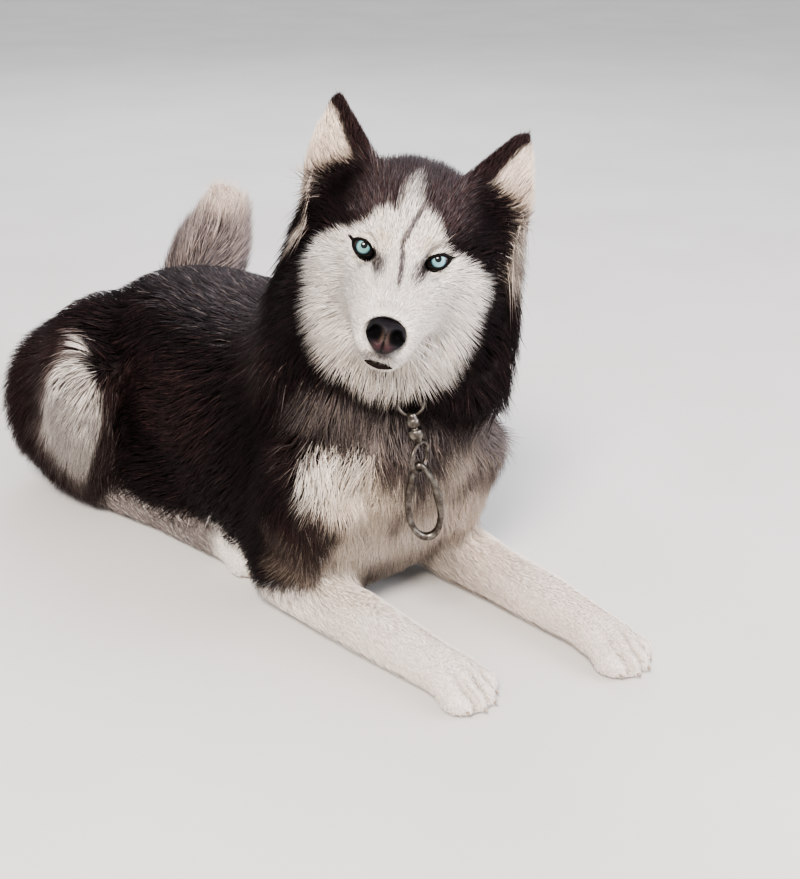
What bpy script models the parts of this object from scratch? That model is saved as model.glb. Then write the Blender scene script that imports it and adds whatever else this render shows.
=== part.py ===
"""A lying husky, life size, as a still museum model: the outer form of its coat, parted by thin cuts.

Metres, +Z up. The trunk faces -Y, the dog's left is +X and the floor is Z = 0. The skeleton is laid out
from a point on the floor between the elbows, and the finished model is moved so that the origin is at
the bottom centre of its box.
"""

import math

import bmesh
import bpy
from mathutils import Matrix, Vector

CUT_WIDTH = 0.0004
VOXEL = 0.0055
SMOOTH_STEPS = 7
LOFT_SIDES = 28
SMALLEST_HALF_SIZE = 0.002
CELL_SIDES = 6
BODY_TRIANGLES = 2650
FLAT_ANGLE = math.radians(0.25)
SHARP_ANGLE = math.radians(55)

# The head: its own axes are +X left, +Y back and +Z up, from the point midway between the eyes.
EYE_LINE_MIDDLE = Vector((-0.0662, -0.1597, 0.4389))
HEAD_TURN = math.radians(-44.2)
HEAD_RAISE = math.radians(-4.7)
HEAD_TILT = math.radians(10.3)
EYE_SPACING = 0.068
LIP_LINE = -0.0770
MUZZLE_ROOT = -0.020
EYE_RADIUS = 0.0115
EYE_BULGE = 0.0010
EYE_DEPTH = 0.0085

COLLAR_RADIUS = 0.074
COLLAR_WIDTH = 0.018
COLLAR_THICKNESS = 0.003
COLLAR_SIDES = 20
CLAW_LENGTH = 0.011

# What hangs from the collar. FACING points out of the chest, to where the dog looks.
WIRE_SIDES = 5
RING_STEPS = 20
HOOK_STEPS = 24
COLLAR_RING_RADIUS = 0.0125
COLLAR_RING_WIRE = 0.0016
HANGING_RING_RADIUS = 0.0150
HANGING_RING_WIRE = 0.0019
FACING = Vector((-0.55, -0.80, 0.24)).normalized()
COLLAR_RING = Vector((-0.0585, -0.1620, 0.2960))
SWIVEL_TOP = Vector((-0.0602, -0.1646, 0.2872))
SWIVEL_BOTTOM = Vector((-0.0560, -0.1695, 0.2555))
HANGING_RING = Vector((-0.0548, -0.1710, 0.2415))
HANGING_FACING = Vector((0.345, -0.94, 0.0)).normalized()
HOOK_TOP = Vector((-0.0548, -0.1712, 0.2322))
HOOK_BOTTOM = Vector((-0.0445, -0.1715, 0.1510))
HOOK_WIDTH = 0.036
HOOK_WIRE = 0.0025

# A finish is its linear colour, roughness and metallic value.
FINISHES = {
    "dark_coat": ((0.030, 0.022, 0.024, 1.0), 0.75, 0.0),
    "pale_coat": ((0.72, 0.67, 0.62, 1.0), 0.8, 0.0),
    "nose_leather": ((0.030, 0.017, 0.018, 1.0), 0.35, 0.0),
    "pale_blue_eye": ((0.30, 0.50, 0.60, 1.0), 0.08, 0.0),
    "worn_steel": ((0.30, 0.28, 0.26, 1.0), 0.42, 1.0),
    "black_webbing": ((0.012, 0.011, 0.011, 1.0), 0.85, 0.0),
}


def clear_scene():
    for item in list(bpy.data.objects):
        bpy.data.objects.remove(item)


def head_matrix():
    turn = Matrix.Rotation(HEAD_TURN, 4, "Z")
    raised = Matrix.Rotation(HEAD_RAISE, 4, "X")
    tilt = Matrix.Rotation(HEAD_TILT, 4, "Y")
    return Matrix.Translation(EYE_LINE_MIDDLE) @ turn @ raised @ tilt


HEAD = head_matrix()


def in_head(x, y, z):
    return HEAD @ Vector((x, y, z))


def catmull_rom(a, b, c, d, t):
    """A point on the smooth curve from b to c."""
    slope, bend, twist = c - a, 2 * a - 5 * b + 4 * c - d, 3 * b - a - 3 * c + d
    return 0.5 * (2 * b + slope * t + bend * t * t + twist * t ** 3)


def smooth_stations(stations, steps=4):
    """The stations of a loft with more put in between, on a smooth curve through them."""
    padded = [stations[0], *stations, stations[-1]]
    dense = []
    for before, start, end, after in zip(padded, padded[1:], padded[2:], padded[3:]):
        for step in range(steps):
            t = step / steps
            point = catmull_rom(before[0], start[0], end[0], after[0], t)
            near = zip(before[1:], start[1:], end[1:], after[1:])
            sizes = [max(SMALLEST_HALF_SIZE, catmull_rom(*values, t)) for values in near]
            dense.append((point, *sizes))
    return [*dense, stations[-1]]


def domed(stations, dome=0.8, steps=4):
    """The stations with each end closed by a dome, as deep as the end ring's smaller half times dome."""
    closed = list(stations)
    for end, inner in ((0, 1), (-1, -2)):
        point, wide, high = stations[end]
        outward = (point - stations[inner][0]).normalized()
        rings = []
        for step in range(1, steps + 1):
            angle = math.radians(84) * step / steps
            place = point + outward * dome * min(wide, high) * math.sin(angle)
            rings.append((place, wide * math.cos(angle), high * math.cos(angle)))
        closed = [*reversed(rings), *closed] if end == 0 else [*closed, *rings]
    return closed


def loft(name, stations, upward=Vector((0, 0, 1)), dome=0.8, power=2.0, steps=4, sides=LOFT_SIDES,
         dome_rings=4):
    """A body of rings across a path. A station is its centre, half its width and half its height."""
    rows = domed(smooth_stations(stations, steps), dome, dome_rings)
    mesh = bmesh.new()
    loops = []
    for index, (centre, wide, high) in enumerate(rows):
        ahead = rows[min(index + 1, len(rows) - 1)][0] - rows[max(index - 1, 0)][0]
        along = ahead.normalized()
        across = upward.cross(along).normalized()
        raised = along.cross(across)
        made = bmesh.ops.create_circle(mesh, segments=sides, radius=1.0)
        for vertex in made["verts"]:
            x, y = vertex.co.x, vertex.co.y
            swell = (abs(x) ** power + abs(y) ** power) ** (-1 / power)
            vertex.co = centre + across * x * swell * wide + raised * y * swell * high
        loops.append(list({edge for vertex in made["verts"] for edge in vertex.link_edges}))
    for one, two in zip(loops, loops[1:]):
        bmesh.ops.bridge_loops(mesh, edges=one + two)
    bmesh.ops.holes_fill(mesh, edges=[edge for edge in mesh.edges if edge.is_boundary])
    bmesh.ops.recalc_face_normals(mesh, faces=mesh.faces)
    return finished(name, mesh)


def ball(name, centre, radii, turn=Matrix.Identity(4), fineness=3):
    """An ellipsoid at centre, its radii along the axes of turn."""
    mesh = bmesh.new()
    place = Matrix.Translation(centre) @ turn.to_3x3().to_4x4() @ Matrix.Diagonal((*radii, 1.0))
    bmesh.ops.create_icosphere(mesh, subdivisions=fineness, radius=1.0, matrix=place)
    return finished(name, mesh)


def head_ball(name, centre, radii, fineness=3):
    return ball(name, in_head(*centre), radii, HEAD, fineness)


def finished(name, mesh):
    """A new object in the scene that holds this bmesh."""
    data = bpy.data.meshes.new(name)
    mesh.to_mesh(data)
    mesh.free()
    item = bpy.data.objects.new(name, data)
    bpy.context.scene.collection.objects.link(item)
    return item


def evaluated_copy(item):
    """The object's mesh with its modifiers applied."""
    bpy.context.view_layer.update()
    graph = bpy.context.evaluated_depsgraph_get()
    return bpy.data.meshes.new_from_object(item.evaluated_get(graph))


def bake_modifiers(item):
    data = evaluated_copy(item)
    item.modifiers.clear()
    item.data = data


def joined(name, shapes):
    """One object of all the shapes' meshes, still as separate shells."""
    mesh = bmesh.new()
    for shape in shapes:
        mesh.from_mesh(shape.data)
        bpy.data.objects.remove(shape)
    return finished(name, mesh)


def mirrored_pairs(maker, name, sides=("left", "right")):
    return [maker(f"{name}_{side}", 1 if side == "left" else -1) for side in sides]


def trunk_shapes():
    """Chest, ribs, belly and rump. A row is Y, the middle's X, half the width, and the top and bottom Z."""
    rows = (
        (-0.115, 0.000, 0.062, 0.262, 0.150),
        (-0.085, 0.000, 0.096, 0.305, 0.098),
        (-0.040, 0.000, 0.120, 0.338, 0.045),
        (0.010, 0.000, 0.134, 0.352, 0.008),
        (0.070, 0.000, 0.138, 0.342, -0.006),
        (0.140, 0.002, 0.137, 0.324, -0.006),
        (0.230, 0.006, 0.134, 0.309, -0.003),
        (0.320, 0.010, 0.130, 0.298, -0.003),
        (0.400, 0.014, 0.120, 0.276, -0.006),
        (0.455, 0.018, 0.094, 0.243, 0.010),
    )
    stations = [
        (Vector((middle, y, (top + bottom) / 2)), wide, (top - bottom) / 2)
        for y, middle, wide, top, bottom in rows
    ]
    return [
        loft("trunk_form", stations, power=2.15),
        ball("breast", Vector((-0.010, -0.102, 0.222)), (0.088, 0.062, 0.078)),
        ball("keel", Vector((-0.005, -0.045, 0.120)), (0.072, 0.068, 0.070)),
    ]


def neck_shapes():
    """The neck in its ruff, from the shoulders up to the back of the skull."""
    stations = [
        (Vector((0.000, 0.030, 0.235)), 0.122, 0.100),
        (Vector((-0.004, -0.022, 0.280)), 0.126, 0.116),
        (Vector((-0.010, -0.052, 0.320)), 0.125, 0.110),
        (Vector((-0.016, -0.080, 0.360)), 0.118, 0.098),
        (in_head(0.0, 0.090, -0.030), 0.100, 0.084),
    ]
    return [loft("neck_form", stations, upward=Vector((0.2, 1, 0.3)))]


def cranium_shapes():
    """Skull, brow, muzzle, jaw, cheeks and the hood of long fur behind them, in the head's own axes."""
    muzzle_rows = (
        (0.056, 0.0880, 0.060, -0.108),
        (0.032, 0.0760, 0.038, -0.096),
        (0.010, 0.0580, 0.016, -0.084),
        (-0.014, 0.0450, 0.003, -0.079),
        (-0.040, 0.0362, -0.010, -0.077),
        (-0.065, 0.0310, -0.020, -0.078),
        (-0.086, 0.0255, -0.027, -0.076),
    )
    jaw_rows = (
        (0.040, 0.0360, -0.055, -0.100),
        (-0.020, 0.0280, -0.062, -0.096),
        (-0.056, 0.0205, -0.066, -0.092),
        (-0.074, 0.0150, -0.070, -0.088),
    )
    hood_rows = (
        (0.076, 0.030, 0.088, 0.046),
        (0.080, -0.005, 0.112, 0.052),
        (0.082, -0.045, 0.119, 0.056),
        (0.078, -0.090, 0.123, 0.062),
        (0.068, -0.132, 0.125, 0.066),
    )
    upward = HEAD.to_3x3() @ Vector((0, 0, 1))
    hood = [(in_head(0, y, z), wide, deep) for y, z, wide, deep in hood_rows]
    shapes = [
        head_ball("skull", (0.0, 0.058, 0.018), (0.070, 0.076, 0.061)),
        head_ball("crown", (0.0, 0.090, -0.006), (0.078, 0.070, 0.070)),
        head_ball("forehead", (0.0, 0.028, 0.019), (0.052, 0.038, 0.038)),
        loft("hood_form", hood, upward=HEAD.to_3x3() @ Vector((0, -1, 0)), dome=0.6),
    ]
    for name, rows, dome in (("muzzle_form", muzzle_rows, 0.42), ("jaw_form", jaw_rows, 0.5)):
        stations = [(in_head(0, y, (top + low) / 2), wide, (top - low) / 2) for y, wide, top, low in rows]
        shapes.append(loft(name, stations, upward=upward, dome=dome, power=2.3))

    def side_shapes(side):
        cheek = head_ball("cheek", (0.046 * side, 0.044, -0.034), (0.046, 0.040, 0.054))
        brow = head_ball("brow", (0.028 * side, 0.017, 0.017), (0.023, 0.018, 0.016))
        fan = head_ball("cheek_fan", (0.045 * side, 0.046, -0.072), (0.045, 0.040, 0.055))
        return [cheek, brow, fan]

    throat = head_ball("throat", (0.0, 0.034, -0.098), (0.060, 0.044, 0.050))
    return [*shapes, throat, *side_shapes(1), *side_shapes(-1)]


def ear(name, side):
    """One pricked ear: a bent, cupped leaf that stands on a wide base and turns its hollow outwards."""
    half_base, thickness, root = 0.043, 0.0095, 0.030
    base = Vector((0.068 * side, 0.058, 0.052))
    tip = Vector((0.0900 * side, 0.067, 0.1215))
    along = (tip - base).normalized()
    hollow = Vector((0.34 * side, -0.92, 0.0))
    hollow = (hollow - along * hollow.dot(along)).normalized()
    across = along.cross(hollow).normalized() * -side
    mesh = bmesh.new()
    grid = bmesh.ops.create_grid(mesh, x_segments=10, y_segments=10, size=0.5)
    reach = (tip - base).length + root
    for vertex in grid["verts"]:
        u, v = vertex.co.x * 2, vertex.co.y + 0.5
        half = half_base * (1 - v ** 1.6) + 0.004
        cup = 0.50 * half * (u * u - 0.5)
        lean = 0.30 * half * (1 - v) * (1 if u > 0 else 0.2) * u
        vertex.co = HEAD @ (base + along * (v * reach - root - lean) + across * u * half + hollow * cup)
    bmesh.ops.recalc_face_normals(mesh, faces=mesh.faces)
    leaf = finished(name, mesh)
    skin = leaf.modifiers.new("thickness", "SOLIDIFY")
    skin.thickness = thickness
    skin.offset = 0.0
    bake_modifiers(leaf)
    return leaf


ARM_RIGHT = [
    (Vector((-0.100, -0.070, 0.205)), 0.056, 0.066),
    (Vector((-0.110, -0.025, 0.125)), 0.050, 0.060),
    (Vector((-0.098, 0.018, 0.060)), 0.040, 0.046),
]
FOREARM_RIGHT = [
    (Vector((-0.093, 0.034, 0.043)), 0.034, 0.042),
    (Vector((-0.088, -0.020, 0.041)), 0.034, 0.041),
    (Vector((-0.082, -0.080, 0.036)), 0.030, 0.036),
    (Vector((-0.076, -0.137, 0.033)), 0.028, 0.034),
    (Vector((-0.069, -0.182, 0.028)), 0.026, 0.029),
    (Vector((-0.063, -0.212, 0.025)), 0.026, 0.027),
]
ARM_LEFT = [
    (Vector((0.084, -0.078, 0.205)), 0.050, 0.060),
    (Vector((0.076, -0.066, 0.128)), 0.037, 0.052),
    (Vector((0.084, -0.030, 0.062)), 0.038, 0.046),
]
FOREARM_LEFT = [
    (Vector((0.088, -0.012, 0.044)), 0.035, 0.043),
    (Vector((0.092, -0.065, 0.040)), 0.034, 0.040),
    (Vector((0.098, -0.130, 0.034)), 0.030, 0.034),
    (Vector((0.102, -0.195, 0.031)), 0.028, 0.032),
    (Vector((0.105, -0.240, 0.027)), 0.026, 0.028),
    (Vector((0.106, -0.268, 0.024)), 0.026, 0.026),
]
THIGH_RIGHT = [
    (Vector((-0.050, 0.430, 0.165)), 0.090, 0.092),
    (Vector((-0.100, 0.402, 0.165)), 0.082, 0.092),
    (Vector((-0.144, 0.360, 0.175)), 0.058, 0.068),
    (Vector((-0.158, 0.330, 0.192)), 0.042, 0.046),
]
SHANK_RIGHT = [
    (Vector((-0.158, 0.326, 0.200)), 0.038, 0.040),
    (Vector((-0.156, 0.340, 0.150)), 0.042, 0.052),
    (Vector((-0.148, 0.356, 0.090)), 0.042, 0.056),
    (Vector((-0.136, 0.362, 0.040)), 0.036, 0.042),
]
HIND_RIGHT = [
    (Vector((-0.132, 0.372, 0.032)), 0.030, 0.036),
    (Vector((-0.112, 0.300, 0.030)), 0.028, 0.034),
    (Vector((-0.094, 0.220, 0.027)), 0.027, 0.031),
    (Vector((-0.083, 0.150, 0.025)), 0.027, 0.029),
]
THIGH_LEFT = [
    (Vector((0.050, 0.420, 0.120)), 0.095, 0.095),
    (Vector((0.105, 0.350, 0.105)), 0.066, 0.080),
    (Vector((0.138, 0.270, 0.092)), 0.044, 0.056),
]
SHANK_LEFT = [
    (Vector((0.140, 0.268, 0.085)), 0.040, 0.048),
    (Vector((0.146, 0.330, 0.055)), 0.036, 0.044),
    (Vector((0.142, 0.390, 0.032)), 0.030, 0.034),
]
HIND_LEFT = [
    (Vector((0.142, 0.395, 0.028)), 0.028, 0.031),
    (Vector((0.152, 0.320, 0.026)), 0.026, 0.029),
    (Vector((0.156, 0.255, 0.024)), 0.026, 0.027),
]
TAIL = [
    (Vector((0.030, 0.455, 0.190)), 0.036, 0.036),
    (Vector((0.085, 0.498, 0.202)), 0.045, 0.045),
    (Vector((0.131, 0.504, 0.243)), 0.050, 0.054),
    (Vector((0.150, 0.494, 0.290)), 0.044, 0.050),
    (Vector((0.163, 0.488, 0.328)), 0.028, 0.034),
]
PAWS = {
    "forepaw_right": (Vector((-0.0630, -0.205, 0)), Vector((-0.052, -0.274, 0)), 0.032, 0.046),
    "forepaw_left": (Vector((0.1060, -0.260, 0)), Vector((0.1080, -0.333, 0)), 0.032, 0.046),
    "hindpaw_right": (Vector((-0.084, 0.150, 0)), Vector((-0.070, 0.075, 0)), 0.029, 0.042),
    "hindpaw_left": (Vector((0.156, 0.255, 0)), Vector((0.158, 0.185, 0)), 0.029, 0.042),
}


def paw_shapes(name, heel, tip, half_width, height):
    """A paw lying flat: its back and four toes, each a long ball with a small claw ahead of it."""
    along = (tip - heel).normalized()
    across = Vector((0, 0, 1)).cross(along)
    length = (tip - heel).length
    turn = Matrix((across, along, Vector((0, 0, 1)))).transposed().to_4x4()
    shapes = [ball(f"{name}_back", heel + along * length * 0.34 + Vector((0, 0, height * 0.5)),
                   (half_width * 0.9, length * 0.50, height * 0.56), turn)]
    toe_radius = half_width * 0.36
    for number, (offset, reach) in enumerate(((-0.72, 0.70), (-0.25, 0.86), (0.25, 0.86), (0.72, 0.70))):
        middle = heel + across * offset * half_width + along * length * (reach - 0.12)
        middle.z = toe_radius * 0.92
        toe_radii = (toe_radius, length * 0.26, toe_radius * 1.2)
        shapes.append(ball(f"{name}_toe_{number}", middle, toe_radii, turn))
        claw_start = middle + along * length * 0.20
        claw_end = claw_start + along * CLAW_LENGTH + Vector((0, 0, -0.004))
        claw = [(claw_start, 0.0045, 0.0048), (claw_end, 0.0032, 0.0034)]
        shapes.append(loft(f"{name}_claw_{number}", claw))
    return shapes


def leg_shapes():
    """The forelegs lie out on the floor, the right hind leg is drawn up and the left one folded."""
    upright = Vector((0, -1, 0.4))
    rows = (("arm_right", ARM_RIGHT, upright), ("arm_left", ARM_LEFT, upright),
            ("forearm_right", FOREARM_RIGHT, None), ("forearm_left", FOREARM_LEFT, None),
            ("thigh_right", THIGH_RIGHT, None), ("shank_right", SHANK_RIGHT, upright),
            ("hind_right", HIND_RIGHT, None), ("thigh_left", THIGH_LEFT, None),
            ("shank_left", SHANK_LEFT, None), ("hind_left", HIND_LEFT, None))
    legs = [loft(name, stations, upward=up or Vector((0, 0, 1))) for name, stations, up in rows]
    masses = (
        ("buttock_right", (-0.108, 0.452, 0.112), (0.096, 0.092, 0.116)),
        ("ham_right", (-0.128, 0.400, 0.095), (0.070, 0.085, 0.098)),
        ("flank_right", (-0.078, 0.270, 0.070), (0.060, 0.110, 0.070)),
        ("buttock_left", (0.065, 0.440, 0.090), (0.085, 0.080, 0.098)),
        ("ham_left", (0.112, 0.365, 0.070), (0.056, 0.075, 0.072)),
    )
    return [*legs, *(ball(name, Vector(centre), radii) for name, centre, radii in masses)]


def coarseness(point):
    """How readily the skin may lose points here: least on the ears and toes, then on the face."""
    place = HEAD.inverted() @ point
    on_ear = place.z > 0.075 and abs(place.x) > 0.045
    on_toes = any((point - heel.lerp(tip, 0.7)).length < 0.045 for heel, tip, _, _ in PAWS.values())
    on_face = (place - Vector((0, 0, -0.03))).length < 0.085
    return 0.94 if on_ear else 0.965 if on_toes or on_face else 1.0


def whole_dog():
    """Every form of the body run together into one skin, smoothed, thinned and cut flat on the floor."""
    paws = [shape for name, sizes in PAWS.items() for shape in paw_shapes(name, *sizes)]
    ears = mirrored_pairs(ear, "ear")
    tail = loft("tail_form", TAIL, upward=Vector((0.5, 0, 1)))
    shapes = [*trunk_shapes(), *neck_shapes(), *cranium_shapes(), *leg_shapes(), *paws, *ears, tail]
    dog = joined("dog", shapes)
    merge = dog.modifiers.new("merge", "REMESH")
    merge.mode = "VOXEL"
    merge.voxel_size = VOXEL
    ease = dog.modifiers.new("ease", "SMOOTH")
    ease.factor = 0.5
    ease.iterations = SMOOTH_STEPS
    bake_modifiers(dog)
    coarse = dog.vertex_groups.new(name="coarse")
    for vertex in dog.data.vertices:
        coarse.add([vertex.index], coarseness(vertex.co), "REPLACE")
    thin = dog.modifiers.new("thin", "DECIMATE")
    thin.ratio = BODY_TRIANGLES / (2 * len(dog.data.polygons))
    thin.vertex_group = "coarse"
    thin.vertex_group_factor = 1.0
    bake_modifiers(dog)
    return dog


def copied(item, name):
    twin = item.copy()
    twin.data = item.data.copy()
    twin.name = name
    bpy.context.scene.collection.objects.link(twin)
    return twin


def combine(item, other, operation):
    """Applies a Boolean of other to item, with the manifold solver: the exact one empties the thighs."""
    change = item.modifiers.new(operation.lower(), "BOOLEAN")
    change.operation = operation
    change.solver = "MANIFOLD"
    change.object = other
    bake_modifiers(item)


def body_volume(faces):
    """Six times the volume that these faces close off."""
    total = 0.0
    for face in faces:
        corners = [vertex.co for vertex in face.verts]
        for one, two in zip(corners[1:], corners[2:]):
            total += corners[0].dot(one.cross(two))
    return total


def keep_largest(item):
    """Removes the crumbs that a cut can leave beside the piece."""
    mesh = bmesh.new()
    mesh.from_mesh(item.data)
    unseen = set(mesh.faces)
    shells = []
    while unseen:
        edge_of_search = [unseen.pop()]
        shell = list(edge_of_search)
        while edge_of_search:
            face = edge_of_search.pop()
            for edge in face.edges:
                for near in edge.link_faces:
                    if near in unseen:
                        unseen.remove(near)
                        edge_of_search.append(near)
                        shell.append(near)
        shells.append(shell)
    shells.sort(key=body_volume)
    crumbs = [face for shell in shells[:-1] for face in shell]
    bmesh.ops.delete(mesh, geom=crumbs, context="FACES")
    mesh.to_mesh(item.data)
    mesh.free()


def swell(item, distance):
    """Moves every face of a closed shape outwards by distance."""
    mesh = bmesh.new()
    mesh.from_mesh(item.data)
    bmesh.ops.triangulate(mesh, faces=mesh.faces)
    mesh.normal_update()
    moves = [(vertex, vertex.normal * vertex.calc_shell_factor() * distance) for vertex in mesh.verts]
    for vertex, move in moves:
        vertex.co += move
    mesh.to_mesh(item.data)
    mesh.free()


def carve(body, name, make_cell):
    """Parts off the piece of the body that lies inside a cell, with a thin gap all round it."""
    piece = copied(body, name)
    for item, gap, operation in ((piece, 0.0, "INTERSECT"), (body, CUT_WIDTH, "DIFFERENCE")):
        cutter = make_cell()
        swell(cutter, gap)
        combine(item, cutter, operation)
        bpy.data.objects.remove(cutter)
        keep_largest(item)
    return piece


def box_cell(frame, low, high):
    """A cell between two corners, in the axes of frame."""
    def made():
        mesh = bmesh.new()
        size = [b - a for a, b in zip(low, high)]
        middle = [(a + b) / 2 for a, b in zip(low, high)]
        place = frame @ Matrix.Translation(middle) @ Matrix.Diagonal((*size, 1.0))
        bmesh.ops.create_cube(mesh, size=1.0, matrix=place)
        return finished("cell", mesh)
    return made


def ball_cell(centre, radii):
    return lambda: ball("cell", Vector(centre), radii, fineness=1)


def loft_cell(stations, margin, dome=0.3, upward=Vector((0, 0, 1))):
    """A cell round the given stations of a limb, wider than the limb by margin."""
    def made():
        wider = [(point, wide + margin, high + margin) for point, wide, high in stations]
        return loft("cell", wider, upward=upward, dome=dome, steps=1, sides=CELL_SIDES, dome_rings=1)
    return made


def frame_along(origin, along, upward=Vector((0, 0, 1))):
    """Axes at origin whose +Y runs along the given direction."""
    ahead = along.normalized()
    across = ahead.cross(upward).normalized()
    columns = Matrix((across, ahead, across.cross(ahead))).transposed()
    return Matrix.Translation(origin) @ columns.to_4x4()


def paw_cell(heel, tip, half_width, height):
    frame = frame_along(heel, tip - heel)
    side = half_width + 0.012
    return box_cell(frame, (-side, 0.004, -0.02), (side, (tip - heel).length + 0.012, height + 0.03))


COLLAR_MIDDLE = Vector((-0.024, -0.070, 0.333))
NECK_AXIS = Vector((0.0, -0.468, 0.884))
COLLAR_FRAME = frame_along(COLLAR_MIDDLE, NECK_AXIS, Vector((0, 1, 0)))
NECK_FOOT = frame_along(Vector((0.0, -0.020, 0.268)), Vector((0.0, -0.50, 0.87)), Vector((0, 1, 0)))


def ear_cell(side):
    frame = HEAD @ frame_along(Vector((0.066 * side, 0.055, 0.060)), Vector((0.55 * side, 0.08, 0.83)))
    return box_cell(frame, (-0.06, 0.0, -0.06), (0.06, 0.12, 0.06))


def parted(dog):
    """The body's named pieces, from the feet inwards. What is left of the dog at the end is its trunk."""
    upright = Vector((0, -1, 0.4))
    cells = [(name, paw_cell(*sizes)) for name, sizes in PAWS.items()]
    cells += [
        ("forearm_right", loft_cell(FOREARM_RIGHT, 0.013)),
        ("forearm_left", loft_cell(FOREARM_LEFT, 0.013)),
        ("upper_arm_right", loft_cell(ARM_RIGHT, 0.013, upward=upright)),
        ("upper_arm_left", loft_cell(ARM_LEFT, 0.013, upward=upright)),
        ("hind_pastern_right", loft_cell(HIND_RIGHT, 0.012)),
        ("hind_pastern_left", loft_cell(HIND_LEFT, 0.012)),
        ("shank_right", loft_cell(SHANK_RIGHT, 0.011, upward=upright)),
        ("shank_left", loft_cell(SHANK_LEFT, 0.012)),
        ("thigh_right", ball_cell((-0.158, 0.425, 0.125), (0.108, 0.162, 0.162))),
        ("thigh_left", ball_cell((0.152, 0.385, 0.080), (0.098, 0.160, 0.130))),
        ("tail", loft_cell(TAIL[1:], 0.018)),
        ("head", box_cell(COLLAR_FRAME, (-0.2, 0.0, -0.2), (0.2, 0.4, 0.2))),
        ("neck", box_cell(NECK_FOOT, (-0.2, 0.0, -0.2), (0.2, 0.3, 0.2))),
        ("chest", box_cell(Matrix.Identity(4), (-0.3, -0.3, -0.1), (0.3, 0.150, 0.5))),
    ]
    pieces = {name: carve(dog, name, cell) for name, cell in cells}
    head = pieces["head"]
    for name, side in (("ear_left", 1), ("ear_right", -1)):
        pieces[name] = carve(head, name, ear_cell(side))
    above_lips = box_cell(HEAD, (-0.08, -0.14, LIP_LINE - CUT_WIDTH), (0.08, MUZZLE_ROOT, 0.05))
    below_lips = box_cell(HEAD, (-0.08, -0.14, -0.14), (0.08, MUZZLE_ROOT, LIP_LINE))
    pieces["muzzle"] = carve(head, "muzzle", above_lips)
    pieces["lower_jaw"] = carve(head, "lower_jaw", below_lips)
    dog.name = "trunk"
    pieces["trunk"] = dog
    return pieces


def nose_leather(grow):
    """The nose pad: broad and rounded above, narrower below, and flattened in front."""
    rows = (
        (-0.074, 0.0150, 0.0150, -0.0480),
        (-0.086, 0.0172, 0.0165, -0.0485),
        (-0.096, 0.0165, 0.0150, -0.0490),
        (-0.102, 0.0125, 0.0115, -0.0495),
    )
    stations = [(in_head(0, y, z), wide + grow, high + grow) for y, wide, high, z in rows]
    pad = loft("nose", stations, upward=HEAD.to_3x3() @ Vector((0, 0, 1)), dome=0.35, power=2.2,
               steps=1, sides=14, dome_rings=1)
    to_head = HEAD.inverted()
    for vertex in pad.data.vertices:
        place = to_head @ vertex.co
        narrowing = min(1.0, max(0.0, (-0.048 - place.z) / 0.018))
        place.x *= 1 - 0.34 * narrowing
        vertex.co = HEAD @ place
    return pad


def eye_centre(side):
    return in_head(EYE_SPACING / 2 * side, EYE_DEPTH, 0.0)


def eye_axis(side):
    return (HEAD.to_3x3() @ Vector((0.16 * side, -1.0, 0.05))).normalized()


def eyeball(name, side, grow=0.0):
    """The ball of the eye with the clear front that bulges a little ahead of it."""
    globe = ball(name, eye_centre(side), [EYE_RADIUS + grow] * 3, fineness=2)
    axis = eye_axis(side)
    for vertex in globe.data.vertices:
        facing = (vertex.co - eye_centre(side)).normalized().dot(axis)
        vertex.co += axis * EYE_BULGE * max(0.0, facing - 0.75) / 0.25
    return globe


def eye_opening(side):
    """A widening round way from the middle of the eyeball out through the coat."""
    axis = eye_axis(side)
    rows = ((0.0030, 0.0095), (0.0080, 0.0100), (0.0180, 0.0130), (0.0300, 0.0170))
    stations = [(eye_centre(side) + axis * reach, radius, radius) for reach, radius in rows]
    return loft("opening", stations, dome=0.05, steps=1, sides=12, dome_rings=1)


def closed_band(name, loops):
    """A closed ring of quads through loops of points."""
    mesh = bmesh.new()
    rows = [[mesh.verts.new(point) for point in loop] for loop in loops]
    for one, two in zip(rows, rows[1:] + rows[:1]):
        for side, after in zip(range(len(one)), [*range(1, len(one)), 0]):
            mesh.faces.new((one[side], one[after], two[after], two[side]))
    bmesh.ops.recalc_face_normals(mesh, faces=mesh.faces)
    return finished(name, mesh)


def wire_section(middle, outward, facing, wire):
    """The points round a wire at one place along it."""
    angles = [math.tau * side / WIRE_SIDES for side in range(WIRE_SIDES)]
    return [middle + (outward * math.cos(angle) + facing * math.sin(angle)) * wire for angle in angles]


def ring_of_wire(name, centre, radius, wire, facing):
    """A closed ring of round wire, with the way through it along facing."""
    turn = frame_along(centre, facing).to_3x3()
    loops = []
    for step in range(RING_STEPS):
        angle = math.tau * step / RING_STEPS
        outward = turn @ Vector((math.cos(angle), 0, math.sin(angle)))
        loops.append(wire_section(centre + outward * radius, outward, facing, wire))
    return closed_band(name, loops)


def collar_strap(name="collar_strap", grow=0.0):
    """A flat strap round the neck, deep in the fur."""
    half_width, half_thick = COLLAR_WIDTH / 2 + grow, COLLAR_THICKNESS / 2 + grow
    profile = ((-half_width, -half_thick), (half_width, -half_thick),
               (half_width, half_thick), (-half_width, half_thick))
    loops = []
    for step in range(COLLAR_SIDES):
        angle = math.tau * step / COLLAR_SIDES
        outward = Vector((math.cos(angle), 0, math.sin(angle)))
        points = [outward * (COLLAR_RADIUS + depth) + Vector((0, high, 0)) for high, depth in profile]
        loops.append([COLLAR_FRAME @ point for point in points])
    return closed_band(name, loops)


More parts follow.
